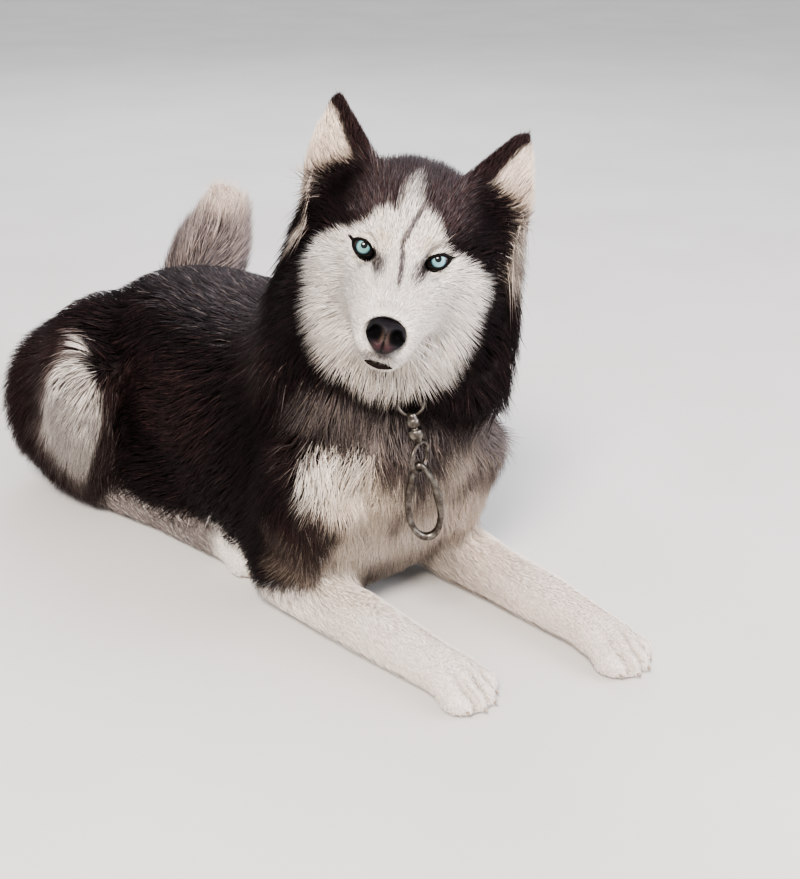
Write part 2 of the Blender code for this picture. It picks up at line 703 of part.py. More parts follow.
def turned(name, top, bottom, profile, sides=8):
    """A solid turned about a line. A profile row is how far along the line it is, and its radius."""
    along = bottom - top
    mesh = bmesh.new()
    frame = frame_along(top, along, Vector((0, 1, 0)))
    loops = []
    for part, radius in profile:
        place = frame @ Matrix.Translation((0, along.length * part, 0)) @ Matrix.Rotation(math.pi / 2, 4, "X")
        made = bmesh.ops.create_circle(mesh, segments=sides, radius=radius, matrix=place)
        loops.append(list({edge for vertex in made["verts"] for edge in vertex.link_edges}))
    for one, two in zip(loops, loops[1:]):
        bmesh.ops.bridge_loops(mesh, edges=one + two)
    bmesh.ops.holes_fill(mesh, edges=[edge for edge in mesh.edges if edge.is_boundary])
    bmesh.ops.recalc_face_normals(mesh, faces=mesh.faces)
    return finished(name, mesh)


def snap_hook(name):
    """A pear-shaped snap link hanging by its narrow end."""
    across = FACING.cross(Vector((0, 0, 1))).normalized() * -1
    drop = HOOK_BOTTOM - HOOK_TOP
    loops = []
    for step in range(HOOK_STEPS):
        angle = math.tau * step / HOOK_STEPS
        fall = (1 - math.cos(angle)) / 2
        half = HOOK_WIDTH / 2 * math.sin(angle) * (0.62 + 0.45 * fall)
        outward = drop * (fall - 0.5) + across * half
        outward = (outward - FACING * outward.dot(FACING)).normalized()
        loops.append(wire_section(HOOK_TOP + drop * fall + across * half, outward, FACING, HOOK_WIRE))
    return closed_band(name, loops)


def collar_ring(name, grow=0.0):
    return ring_of_wire(name, COLLAR_RING, COLLAR_RING_RADIUS, COLLAR_RING_WIRE + grow, FACING)


def hanging_ring(name, grow=0.0):
    return ring_of_wire(name, HANGING_RING, HANGING_RING_RADIUS, HANGING_RING_WIRE + grow, HANGING_FACING)


def hardware():
    """What hangs from the collar in front of the chest: a ring, a swivel, a larger ring and a snap link."""
    barrel = ((0.0, 0.0030), (0.06, 0.0044), (0.16, 0.0050), (0.22, 0.0062), (0.42, 0.0062), (0.46, 0.0036),
              (0.52, 0.0036), (0.56, 0.0070), (0.78, 0.0070), (0.86, 0.0050), (0.96, 0.0046), (1.0, 0.0030))
    swivel = turned("swivel", SWIVEL_TOP, SWIVEL_BOTTOM, barrel)
    cut_out(swivel, collar_ring("slot", CUT_WIDTH))
    cut_out(swivel, hanging_ring("slot", CUT_WIDTH))
    return [collar_ring("collar_ring"), swivel, hanging_ring("hanging_ring"), snap_hook("snap_link")]


def finish_of(name):
    """Which finish a piece has, from its name."""
    by_word = {
        "eye": "pale_blue_eye", "nose": "nose_leather", "collar_strap": "black_webbing",
        "collar_ring": "worn_steel", "hanging_ring": "worn_steel", "swivel": "worn_steel",
        "snap": "worn_steel", "fore": "pale_coat", "hind": "pale_coat", "muzzle": "pale_coat",
        "lower_jaw": "pale_coat",
    }
    return next((finish for word, finish in by_word.items() if name.startswith(word)), "dark_coat")


def coloured(item, name):
    finish = bpy.data.materials.get(name)
    if finish is None:
        colour, roughness, metallic = FINISHES[name]
        finish = bpy.data.materials.new(name)
        finish.use_nodes = True
        shader = finish.node_tree.nodes["Principled BSDF"]
        shader.inputs["Base Color"].default_value = colour
        shader.inputs["Roughness"].default_value = roughness
        shader.inputs["Metallic"].default_value = metallic
    item.data.materials.clear()
    item.data.materials.append(finish)


def smoothed(item):
    """Merges what the cuts left in one flat, and shades the rest as round but for its edges."""
    mesh = bmesh.new()
    mesh.from_mesh(item.data)
    bmesh.ops.dissolve_limit(mesh, angle_limit=FLAT_ANGLE, verts=mesh.verts, edges=mesh.edges)
    mesh.to_mesh(item.data)
    mesh.free()
    item.data.shade_smooth()
    item.data.set_sharp_from_angle(angle=SHARP_ANGLE)


def cut_out(item, cutter):
    combine(item, cutter, "DIFFERENCE")
    keep_largest(item)
    bpy.data.objects.remove(cutter)


clear_scene()
dog = whole_dog()
floor = box_cell(Matrix.Identity(4), (-1, -1, -0.2), (1, 1, 0.0))()
combine(dog, floor, "DIFFERENCE")
bpy.data.objects.remove(floor)
pieces = parted(dog)

for side_name, side in (("left", 1), ("right", -1)):
    name = f"eye_{side_name}"
    pieces[name] = eyeball(name, side)
    cut_out(pieces["head"], eye_opening(side))
    cut_out(pieces["head"], eyeball("socket", side, CUT_WIDTH))
pieces["nose"] = nose_leather(0.0)
cut_out(pieces["muzzle"], nose_leather(CUT_WIDTH))
for name in ("head", "neck"):
    cut_out(pieces[name], collar_strap("channel", CUT_WIDTH))
    cut_out(pieces[name], collar_ring("slot", CUT_WIDTH))
pieces["collar_strap"] = collar_strap()
for item in hardware():
    pieces[item.name] = item

corners = [Vector(corner) for item in pieces.values() for corner in item.bound_box]
low = [min(corner[axis] for corner in corners) for axis in range(3)]
high = [max(corner[axis] for corner in corners) for axis in range(3)]
base = Vector(((low[0] + high[0]) / 2, (low[1] + high[1]) / 2, low[2]))
for name, item in pieces.items():
    item.data.transform(Matrix.Translation(-base))
    smoothed(item)
    coloured(item, finish_of(name))
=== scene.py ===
import math
import time

import bmesh
import bpy
import numpy as np
from mathutils import Matrix, Vector
from mathutils.bvhtree import BVHTree
from mathutils.kdtree import KDTree


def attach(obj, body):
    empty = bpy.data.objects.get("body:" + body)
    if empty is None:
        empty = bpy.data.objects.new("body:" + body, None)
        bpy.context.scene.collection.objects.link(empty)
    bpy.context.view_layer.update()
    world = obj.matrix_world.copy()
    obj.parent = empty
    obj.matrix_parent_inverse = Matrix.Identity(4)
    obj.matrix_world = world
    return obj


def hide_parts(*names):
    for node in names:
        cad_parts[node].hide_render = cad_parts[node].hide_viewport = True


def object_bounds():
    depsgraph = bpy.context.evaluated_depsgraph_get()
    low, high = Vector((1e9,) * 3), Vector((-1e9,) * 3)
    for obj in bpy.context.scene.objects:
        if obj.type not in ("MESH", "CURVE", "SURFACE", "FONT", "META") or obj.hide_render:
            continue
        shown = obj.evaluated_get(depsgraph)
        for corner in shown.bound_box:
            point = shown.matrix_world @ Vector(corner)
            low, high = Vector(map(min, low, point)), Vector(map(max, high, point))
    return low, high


started = time.time()
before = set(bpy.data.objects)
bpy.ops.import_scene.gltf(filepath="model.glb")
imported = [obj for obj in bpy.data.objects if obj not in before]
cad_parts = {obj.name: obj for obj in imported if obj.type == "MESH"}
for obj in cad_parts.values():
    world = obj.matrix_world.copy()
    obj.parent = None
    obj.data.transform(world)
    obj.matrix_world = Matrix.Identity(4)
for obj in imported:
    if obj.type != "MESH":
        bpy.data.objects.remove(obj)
cadBox = [list(corner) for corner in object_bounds()]
random = np.random.default_rng(41)
mm = 0.001


def report(words):
    print(f"{time.time() - started:6.1f} s  {words}")


# Places: the head's own frame has +X to the dog's left, +Y to its nape, +Z to its crown
pose = {
    "bodyShift": (0.0047, -0.1089, 0.0),
    "eyeMiddle": (-0.0662, -0.1597, 0.4389),
    "headTurn": -44.2,
    "headNod": -4.7,
    "headTilt": 10.3,
    "camera": (-0.7541, -1.0899, 0.76),
    "looking": (0.58256, 0.69427, -0.42262),
    "lens": 51.19,
}
shift = Vector(pose["bodyShift"])
headFrame = (
    Matrix.Translation(Vector(pose["eyeMiddle"]) + shift)
    @ Matrix.Rotation(math.radians(pose["headTurn"]), 4, "Z")
    @ Matrix.Rotation(math.radians(pose["headNod"]), 4, "X")
    @ Matrix.Rotation(math.radians(pose["headTilt"]), 4, "Y")
)
toHead = headFrame.inverted()
bodyFrame = Matrix.Translation(shift)
toBody = bodyFrame.inverted()


def placed(points, matrix):
    m = np.array(matrix)
    return np.asarray(points, float).reshape(-1, 3) @ m[:3, :3].T + m[:3, 3]


def turned(vectors, matrix):
    return np.asarray(vectors, float).reshape(-1, 3) @ np.array(matrix)[:3, :3].T


def unit(vectors):
    return vectors / np.maximum(np.linalg.norm(vectors, axis=-1, keepdims=True), 1e-12)


def ramp(values, low, high):
    t = np.clip((values - low) / (high - low), 0, 1)
    return t * t * (3 - 2 * t)


# Materials, each named for the real finish
def linear(hexColour):
    parts = [int(hexColour[i:i + 2], 16) / 255 for i in (1, 3, 5)]
    return tuple(c / 12.92 if c <= 0.04045 else ((c + 0.055) / 1.055) ** 2.4 for c in parts) + (1.0,)


def addNode(tree, kind, values=None, links=None, into=None, stops=(), **settings):
    node = tree.nodes.new(kind)
    for name, value in settings.items():
        setattr(node, name, value)
    for name, value in (values or {}).items():
        node.inputs[name].default_value = value
    for name, source in (links or {}).items():
        tree.links.new(source, node.inputs[name])
    for name, socket in (into or {}).items():
        tree.links.new(node.outputs[name], socket)
    if stops:  # place and tint along a colour ramp
        elements = node.color_ramp.elements
        while len(elements) < len(stops):
            elements.new(0.5)
        for element, (place, tint) in zip(elements, stops):
            element.position = place
            element.color = linear(tint)
    return node


def startMaterial(name, **values):
    material = bpy.data.materials.new(name)
    material.use_nodes = True
    tree = material.node_tree
    shader = tree.nodes["Principled BSDF"]
    for socket, value in values.items():
        shader.inputs[socket.replace("_", " ")].default_value = value
    return material, tree, shader


# A piece's own colours, made darker and lighter by a pattern
def shadeOwn(tree, shader, attribute, pattern, reach, shades):
    own = addNode(tree, "ShaderNodeAttribute", attribute_name=attribute)
    shade = addNode(tree, "ShaderNodeMapRange", {
        "From Min": reach[0], "From Max": reach[1], "To Min": shades[0], "To Max": shades[1]},
        {"Value": pattern})
    addNode(tree, "ShaderNodeMix", {0: 1.0}, {6: own.outputs["Color"], 7: shade.outputs["Result"]},
            {2: shader.inputs["Base Color"]}, data_type="RGBA", blend_type="MULTIPLY")
    return own


# Hair: the colour is the piece's own, and a noise as fine as a few strands shades it
def hairMaterial(name, noise, shades, relief=0.0, **values):
    material, tree, shader = startMaterial(name, **values)
    where = addNode(tree, "ShaderNodeTexCoord")
    strands = addNode(tree, "ShaderNodeTexNoise", noise, {"Vector": where.outputs["Object"]}).outputs["Fac"]
    shadeOwn(tree, shader, "coat", strands, (0.3, 0.7), shades)
    if relief:
        addNode(tree, "ShaderNodeBump", {"Strength": relief, "Distance": 0.002}, {"Height": strands},
                {"Normal": shader.inputs["Normal"]})
    return material


# A plain finish: one pattern on Object coordinates gives the tint and, where it can be felt, the relief
def plainMaterial(name, numbers, stops, relief=None, texture="ShaderNodeTexNoise", options=None, **values):
    material, tree, shader = startMaterial(name, **values)
    where = addNode(tree, "ShaderNodeTexCoord")
    pattern = addNode(tree, texture, numbers, {"Vector": where.outputs["Object"]}, **(options or {}))
    pattern = pattern.outputs["Fac"]
    addNode(tree, "ShaderNodeValToRGB", None, {0: pattern}, {"Color": shader.inputs["Base Color"]}, stops)
    if relief:
        addNode(tree, "ShaderNodeBump", {"Strength": relief[0], "Distance": relief[1]}, {"Height": pattern},
                {"Normal": shader.inputs["Normal"]})
    return material


# Wet eye: a clear coat over an ice-blue iris with radial fibres, a dark rim and a small pupil
def eyeMaterial():
    material, tree, shader = startMaterial(
        "wetGlassEye", Roughness=0.5, Coat_Weight=0.8, Coat_Roughness=0.02, Specular_IOR_Level=0.06)
    away = addNode(tree, "ShaderNodeAttribute", attribute_name="irisPlace")
    parts = addNode(tree, "ShaderNodeSeparateXYZ", links={0: away.outputs["Vector"]}).outputs
    around = addNode(tree, "ShaderNodeAttribute", attribute_name="irisRound")
    fibres = addNode(tree, "ShaderNodeTexNoise", {"Scale": 9.0, "Detail": 3.0, "Roughness": 0.6},
                     {"Vector": around.outputs["Vector"]})
    iris = addNode(tree, "ShaderNodeValToRGB", links={0: parts["X"]}, stops=(
        (0.0, "#54807f"), (0.30, "#649190"), (0.62, "#76a09f"), (0.82, "#466a70"), (0.92, "#172830"),
        (1.0, "#0c0e10")))
    shade = addNode(tree, "ShaderNodeMapRange", {
        "From Min": 0.32, "From Max": 0.68, "To Min": 0.72, "To Max": 1.12}, {"Value": fibres.outputs["Fac"]})
    lit = addNode(tree, "ShaderNodeMix", {0: 1.0}, {6: iris.outputs["Color"], 7: shade.outputs["Result"]},
                  data_type="RGBA", blend_type="MULTIPLY")
    bluer = addNode(tree, "ShaderNodeMix", {7: (1.16, 1.08, 1.20, 1.0)}, {0: parts["Z"], 6: lit.outputs[2]},
                    data_type="RGBA", blend_type="MULTIPLY")  # the left eye is a little bluer
    pupil = addNode(tree, "ShaderNodeMapRange", {"From Min": 0.37, "From Max": 0.41}, {"Value": parts["Y"]})
    seen = addNode(tree, "ShaderNodeMix", {6: linear("#020203")},
                   {0: pupil.outputs["Result"], 7: bluer.outputs[2]}, data_type="RGBA")
    white = addNode(tree, "ShaderNodeMapRange", {"From Min": 1.0, "From Max": 1.12}, {"Value": parts["X"]})
    addNode(tree, "ShaderNodeMix", {7: linear("#2b2220")}, {0: white.outputs["Result"], 6: seen.outputs[2]},
            {2: shader.inputs["Base Color"]}, data_type="RGBA")
    return material


# Nose leather: moist skin in pebbles of about 0.9 mm, darker on top and reddish between the nostrils
def noseMaterial():
    material, tree, shader = startMaterial(
        "moistNoseLeather", Coat_Weight=0.02, Coat_Roughness=0.3, Specular_IOR_Level=0.15)
    where = addNode(tree, "ShaderNodeTexCoord")
    pebbles = addNode(tree, "ShaderNodeTexVoronoi", {"Scale": 1100.0}, {"Vector": where.outputs["Object"]},
                      feature="F1").outputs["Distance"]
    own = shadeOwn(tree, shader, "tint", pebbles, (0.0, 0.8), (1.15, 0.75))
    addNode(tree, "ShaderNodeMapRange", {"To Min": 0.44, "To Max": 1.0}, {"Value": own.outputs["Alpha"]},
            {"Result": shader.inputs["Roughness"]})  # the nostrils are dull
    down = addNode(tree, "ShaderNodeMath", {0: 1.0}, {1: pebbles}, operation="SUBTRACT")
    addNode(tree, "ShaderNodeBump", {"Strength": 0.35, "Distance": 0.0006}, {"Height": down.outputs[0]},
            {"Normal": shader.inputs["Normal"]})
    return material


# Worn steel wire: bright where it rubs, dull brown in the hollows, scratches of about 0.5 mm
def steelMaterial():
    material, tree, shader = startMaterial("wornSteelWire", Metallic=1.0)
    where = addNode(tree, "ShaderNodeTexCoord")
    rub, scratch = (addNode(tree, "ShaderNodeTexNoise", {"Scale": scale, "Detail": detail},
                            {"Vector": where.outputs["Object"]}).outputs["Fac"]
                    for scale, detail in ((160.0, 5.0), (1800.0, 2.0)))
    addNode(tree, "ShaderNodeValToRGB", None, {0: rub}, {"Color": shader.inputs["Base Color"]},
            ((0.32, "#3a332e"), (0.5, "#5c5650"), (0.72, "#87827a")))
    addNode(tree, "ShaderNodeMapRange", {"From Min": 0.3, "From Max": 0.7, "To Min": 0.5, "To Max": 0.26},
            {"Value": rub}, {"Result": shader.inputs["Roughness"]})
    addNode(tree, "ShaderNodeBump", {"Strength": 0.15, "Distance": 0.0002}, {"Height": scratch},
            {"Normal": shader.inputs["Normal"]})
    return material


# Guard hair: streaks of about 1.5 mm, strong in the glossy black and faint in the softer white and cream
guardNoise = {"Scale": 650.0, "Detail": 2.0}
darkHair = hairMaterial("darkGuardHair", guardNoise, (0.75, 1.175), Roughness=0.58, Specular_IOR_Level=0.09)
paleHair = hairMaterial("paleGuardHair", guardNoise, (0.88, 1.084), Roughness=0.58, Specular_IOR_Level=0.09)
# Underwool: dense, dull and crimped at about 2.4 mm, seen only between the tufts
underwool = hairMaterial("underwool", {"Scale": 420.0, "Detail": 4.0}, (0.6, 1.0), 0.6,
                         Roughness=0.85, Specular_IOR_Level=0.2)
# Lid and lip skin: smooth, hairless, near black and hardly wet, with creases of about 1 mm; the lip skin also
# fills the gap of the mouth, which is painted shade
lidSkin, lipSkinAndMouthShade = (
    plainMaterial(name, {"Scale": 900.0, "Detail": 3.0}, ((0.3, low), (0.7, high)), (0.3, 0.0005),
                  Roughness=0.6, Specular_IOR_Level=0.10)
    for name, low, high in (("smoothLidSkin", "#050404", "#100c0d"), ("brownLipSkinAndMouthShade", "#0a0605", "#1d120e")))
# Claw horn: smooth keratin, mottled at about 3 mm
clawHorn = plainMaterial("smoothClawHorn", {"Scale": 350.0, "Detail": 3.0},
                         ((0.3, "#6d5d54"), (0.7, "#a8998c")), (0.2, 0.0004),
                         Roughness=0.32, Specular_IOR_Level=0.5)
# Whisker: stiff pale hair whose tone drifts over about 8 mm
whiskerHair = plainMaterial("stiffWhisker", {"Scale": 120.0}, ((0.35, "#b9b2aa"), (0.65, "#e6e1da")),
                            Roughness=0.35, Specular_IOR_Level=0.5)
# Black polyester webbing: bands about 3.3 mm apart, coarser than the real threads of about 1.4 mm
webbing = plainMaterial("blackWovenWebbing", {"Scale": 110.0, "Distortion": 0.6},
                        ((0.2, "#141213"), (0.8, "#2e2a2b")), (0.5, 0.0006), "ShaderNodeTexWave",
                        {"bands_direction": "DIAGONAL"}, Roughness=0.72, Sheen_Weight=0.2)
eyeGlass, noseLeather, wornSteel = eyeMaterial(), noseMaterial(), steelMaterial()


# Mesh helpers
def finished(name, mesh, material, nodes=()):
    piece = bpy.data.objects.new(name, mesh)
    bpy.context.scene.collection.objects.link(piece)
    mesh.materials.clear()
    mesh.materials.append(material)
    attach(piece, "root")
    if nodes:
        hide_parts(*nodes)
    return piece


def meshFrom(bm, name):
    bmesh.ops.remove_doubles(bm, verts=bm.verts, dist=1e-6)
    bmesh.ops.recalc_face_normals(bm, faces=bm.faces)
    mesh = bpy.data.meshes.new(name)
    bm.to_mesh(mesh)
    bm.free()
    mesh.shade_smooth()
    return mesh


def edgesAmong(verts):
    touching = dict.fromkeys(e for v in verts for e in v.link_edges)  # each once, in the same order every run
    return [e for e in touching if e.verts[0] in verts and e.verts[1] in verts]


# A ring of points is extruded from place to place; the ends are filled, or the last ring meets the first
def swept(bm, loops, closed=False):
    made = bmesh.ops.create_circle(bm, cap_ends=False, segments=len(loops[0]), radius=mm)
    ring = made["verts"]
    for vert, point in zip(ring, loops[0]):
        vert.co = point
    first = list(ring)
    for points in loops[1:] + (loops[:1] if closed else []):
        extruded = bmesh.ops.extrude_edge_only(bm, edges=edgesAmong(ring))["geom"]
        fresh = {v for v in extruded if isinstance(v, bmesh.types.BMVert)}
        ring = [next(e.other_vert(v) for e in v.link_edges if e.other_vert(v) in fresh) for v in ring]
        for vert, point in zip(ring, points):
            vert.co = point
    if not closed:
        for end in (first, ring):
            bmesh.ops.holes_fill(bm, edges=edgesAmong(end), sides=0)


def circleRound(centre, across, high, wide, tall=None, sides=12):
    angles = [math.tau * k / sides for k in range(sides)]
    centre, across, high, tall = Vector(centre), Vector(across), Vector(high), tall or wide
    return [centre + across * (wide * math.cos(a)) + high * (tall * math.sin(a)) for a in angles]


def trianglesOf(mesh):
    mesh.calc_loop_triangles()
    tris = np.empty(len(mesh.loop_triangles) * 3, np.int32)
    mesh.loop_triangles.foreach_get("vertices", tris)
    return tris.reshape(-1, 3)


def pointsOf(mesh):
    co = np.empty(len(mesh.vertices) * 3, np.float32)
    mesh.vertices.foreach_get("co", co)
    return co.reshape(-1, 3).astype(float)


def normalsOf(points, tris):
    faces = np.cross(points[tris[:, 1]] - points[tris[:, 0]], points[tris[:, 2]] - points[tris[:, 0]])
    total = np.zeros_like(points)
    for corner in range(3):
        for axis in range(3):
            total[:, axis] += np.bincount(tris[:, corner], faces[:, axis], len(points))
    return unit(total)


# Each point's neighbours on the mesh, for means and smoothing
class meshLinks:
    def __init__(self, tris, count):
        pairs = np.sort(np.vstack([tris[:, [0, 1]], tris[:, [1, 2]], tris[:, [2, 0]]]), axis=1)
        self.a, self.b = np.unique(pairs, axis=0).T
        self.count = count
        found = np.bincount(self.a, minlength=count) + np.bincount(self.b, minlength=count)
        self.degree = np.maximum(found, 1)

    def mean(self, values):
        out = np.empty_like(values)
        for k in range(values.shape[1]):
            out[:, k] = (np.bincount(self.a, values[self.b, k], self.count)
                         + np.bincount(self.b, values[self.a, k], self.count)) / self.degree
        return out

    def smooth(self, values, rounds, share=0.5, strength=None):
        values = values.copy()
        for _ in range(rounds):
            step = share * (self.mean(values) - values)
            values += step if strength is None else step * strength[:, None]
        return values


# Eyes: the opening and the dark lid round it, in the eye's own plane (u to the temple, v up, w out)
eyeShape = {
    "radius": 11.5 * mm,
    "centre": (0.0332, 0.0085, 0.0),
    "nudge": {-1: (-2.2 * mm, 0.0), 1: (-2.2 * mm, 0.9 * mm)},
    "axis": (0.16, -1.0, 0.05),
    "slant": 22.0,
    "half": {-1: (8.1 * mm, 5.4 * mm), 1: (8.2 * mm, 4.7 * mm)},
    "corner": 0.9 * mm,
    "dome": 8.6 * mm,
    "slope": 0.6,
    "iris": 7.5 * mm,
    "pupilLift": 1.9 * mm,
    "cornea": 0.7 * mm,
    "underLid": 3.2 * mm,
    "socket": (11.5 * mm, 18 * mm),
    "behind": -3 * mm,
    "rimDepth": 1.2 * mm,
}


def eyeAxes(side):
    x, y, z = eyeShape["centre"]
    ax, ay, az = eyeShape["axis"]
    aside, lifted = eyeShape["nudge"][side]
    centre = headFrame @ Vector((x * side + aside, y, z + lifted))
    turn = headFrame.to_3x3()
    w = (turn @ Vector((ax * side, ay, az))).normalized()
    temple = turn @ Vector((side, 0, 0))
    temple = (temple - w * temple.dot(w)).normalized()
    up = turn @ Vector((0, 0, 1))
    up = (up - w * up.dot(w) - temple * up.dot(temple)).normalized()
    slant = math.radians(eyeShape["slant"])
    u = temple * math.cos(slant) + up * math.sin(slant)
    v = up * math.cos(slant) - temple * math.sin(slant)
    return centre, u, v, w


eyes = {side: eyeAxes(side) for side in (-1, 1)}


def inEye(points, side):
    centre, u, v, w = eyes[side]
    away = points - np.array(centre)
    x, y, z = away @ np.array(u), away @ np.array(v), away @ np.array(w)
    return np.hypot(x, y), np.arctan2(y, x), z


def openingAt(angle, side):
    a, b = eyeShape["half"][side]
    c, s = np.cos(angle), np.sin(angle)
    return a * b / np.sqrt((b * c) ** 2 + (a * s) ** 2) + eyeShape["corner"] * np.abs(c) ** 8


def lidAt(angle):
    c, s = np.cos(angle), np.sin(angle)
    inner = np.maximum(0, -np.cos(angle - 0.42))
    corner = 6.0 * np.maximum(0, c) ** 420 + 0.8 * np.maximum(0, c) ** 12
    return (2.0 + 1.7 * np.maximum(0, -s) + corner + 1.9 * inner ** 7) * mm


def domeAt(distance, lift):
    flat = np.minimum(distance, eyeShape["dome"])
    inner = np.maximum((eyeShape["radius"] + lift) ** 2 - flat ** 2, 1e-9)
    return np.sqrt(inner) - eyeShape["slope"] * (distance - flat)


# The outer form of the coat: every node of flesh joined and remeshed as one closed surface
paws = {  # body frame: heel, toe tip, half width
    "forepaw_right": ((-0.0630, -0.205), (-0.0520, -0.274), 0.032),
    "forepaw_left": ((0.1060, -0.260), (0.1080, -0.333), 0.032),
    "hindpaw_right": ((-0.084, 0.150), (-0.070, 0.075), 0.029),
    "hindpaw_left": ((0.156, 0.255), (0.158, 0.185), 0.029),
}
toeSpread = ((-0.72, 0.66), (-0.25, 0.80), (0.25, 0.80), (0.72, 0.66))
collar = {"middle": (-0.024, -0.070, 0.333), "axis": (0, -0.468, 0.884), "skin": 0.0695, "reach": 0.018}
shellSettings = {
    "voxel": 4.25 * mm, "overlap": 0.5 * mm, "groove": 6.0 * mm, "eyeBall": 11.6 * mm, "eyeOut": 1.0 * mm,
    "toeLong": 1.35, "toeTall": 1.2, "finerEye": 26 * mm, "finestEye": 19 * mm, "finerToe": 1.6,
}
notFlesh = ("collar_strap", "collar_ring", "swivel", "hanging_ring", "snap_link",
            "eye_left", "eye_right", "nose")
fleshNodes = sorted(set(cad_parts) - set(notFlesh))


def pawAxes(name):
    heel, tip, half = paws[name]
    along = Vector((tip[0] - heel[0], tip[1] - heel[1], 0))
    length = along.length
    along.normalize()
    return Vector((*heel, 0)) + shift, along, Vector((-along.y, along.x, 0)), length, half


def toePlaces(name):
    heel, along, across, length, half = pawAxes(name)
    size = 0.37 * half
    return [(heel + across * (offset * half) + along * (reach * length) + Vector((0, 0, size * 1.2)), size)
            for offset, reach in toeSpread]


def coatForm():
    joined = bmesh.new()
    labels = []
    for name in fleshNodes + ["collar_strap", "nose"]:
        part = bmesh.new()
        part.from_mesh(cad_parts[name].data)
        bmesh.ops.remove_doubles(part, verts=part.verts, dist=1e-6)
        part.normal_update()
        for vert in part.verts:
            vert.co += vert.normal * shellSettings["overlap"]
        copy = bpy.data.meshes.new("part")
        part.to_mesh(copy)
        part.free()
        joined.from_mesh(copy)
        bpy.data.meshes.remove(copy)
        labels += [name] * (len(joined.faces) - len(labels))
    for centre, *_, w in eyes.values():
        bmesh.ops.create_icosphere(joined, subdivisions=3, radius=shellSettings["eyeBall"],
                                   matrix=Matrix.Translation(centre + w * shellSettings["eyeOut"]))
        labels += ["head"] * (len(joined.faces) - len(labels))
    for name in paws:
        _, along, across, *_ = pawAxes(name)
        turn = Matrix((across, along, Vector((0, 0, 1)))).transposed().to_4x4()
        long, tall = shellSettings["toeLong"], shellSettings["toeTall"]
        for centre, size in toePlaces(name):
            stretch = Matrix.Diagonal((size, size * long, size * tall, 1))
            bmesh.ops.create_icosphere(joined, subdivisions=3, radius=1,
                                       matrix=Matrix.Translation(centre) @ turn @ stretch)
            labels += [name] * (len(joined.faces) - len(labels))
    mesh = bpy.data.meshes.new("joined")
    joined.to_mesh(mesh)
    tree = BVHTree.FromBMesh(joined)
    joined.free()
    holder = bpy.data.objects.new("joined", mesh)
    bpy.context.scene.collection.objects.link(holder)
    whole = holder.modifiers.new("whole", "REMESH")
    whole.mode, whole.voxel_size = "VOXEL", shellSettings["voxel"]
    made = bpy.data.meshes.new_from_object(holder.evaluated_get(bpy.context.evaluated_depsgraph_get()))
    bpy.data.objects.remove(holder)
    bpy.data.meshes.remove(mesh)
    bm = bmesh.new()
    bm.from_mesh(made)
    bpy.data.meshes.remove(made)
    # only the largest connected part is kept
    left, parts = set(bm.verts), []
    while left:
        seen, front = set(), [left.pop()]
        seen.add(front[0])
        while front:
            vert = front.pop()
            for edge in vert.link_edges:
                other = edge.other_vert(vert)
                if other not in seen:
                    seen.add(other)
                    front.append(other)
        left -= seen
        parts.append(seen)
    parts.sort(key=len)
    for part in parts[:-1]:
        bmesh.ops.delete(bm, geom=list(part), context="VERTS")
    # finer faces round the eyes, the nose and the toes
    toeSpots = [(c, size * shellSettings["finerToe"]) for name in paws for c, size in toePlaces(name)]
    finer, finest = ([(Vector(eyes[s][0]), shellSettings[reach]) for s in eyes]
                     for reach in ("finerEye", "finestEye"))
    for rounds in (finer + toeSpots, finest):
        inside = [e for e in bm.edges
                  if any(all((v.co - c).length < r for v in e.verts) for c, r in rounds)]
        bmesh.ops.subdivide_edges(bm, edges=inside, cuts=1, use_grid_fill=True)
    bmesh.ops.triangulate(bm, faces=bm.faces)
    made = bpy.data.meshes.new("coatForm")
    bm.to_mesh(made)
    bm.free()
    return made, tree, labels


formMesh, sourceTree, sourceLabels = coatForm()
tris = trianglesOf(formMesh)
outer = pointsOf(formMesh)
report(f"coat form: {len(outer)} points, {len(tris)} triangles")
near = meshLinks(tris, len(outer))
labels = np.array([fleshNodes.index({"nose": "muzzle", "collar_strap": "neck"}.get(name, name)) for name in (
    sourceLabels[sourceTree.find_nearest(Vector(p))[2]] for p in outer)])
inHead = placed(outer, toHead)


def labelled(*names):
    return np.isin(labels, [fleshNodes.index(name) for name in names])


ears = labelled("ear_left", "ear_right")
fine = ears | labelled(*paws) | (labelled("head", "muzzle", "lower_jaw") & (inHead[:, 1] < 0.03))
# Smoothing that takes the voxel steps out and gives the volume back, gentler on ears, face and toes
strength = np.where(ears, 0.35, np.where(fine, 0.6, 1.0))
for _ in range(7):
    outer = near.smooth(outer, 1, 0.5, strength)
    outer = near.smooth(outer, 1, -0.52, strength)
outer = near.smooth(outer, 2, 0.4, strength)


def inPaw(points, name):
    heel, along, across, length, half = pawAxes(name)
    away = points - np.array(heel)
    return away @ np.array(along), away @ np.array(across), length, half


def betweenToes(points, name):
    reach, beside, length, half = inPaw(points, name)
    press = sum(np.exp(-((beside - offset * half) / (2.6 * mm)) ** 2) for offset in (-0.485, 0.0, 0.485))
    return press * ramp(reach, 0.35 * length, 0.7 * length) * ramp(points[:, 2], 0.002, 0.010)


# The grooves between the toes and the sockets of the eyes are pressed into the form
def groovesOfToes(points):
    normals = normalsOf(points, tris)
    for name in paws:
        reach, beside, length, half = inPaw(points, name)
        close = ((reach > 0.3 * length) & (reach < 1.4 * length)
                 & (np.abs(beside) < 1.2 * half) & (points[:, 2] < 0.06))
        points = points - normals * (betweenToes(points, name) * close * shellSettings["groove"])[:, None]
    return points


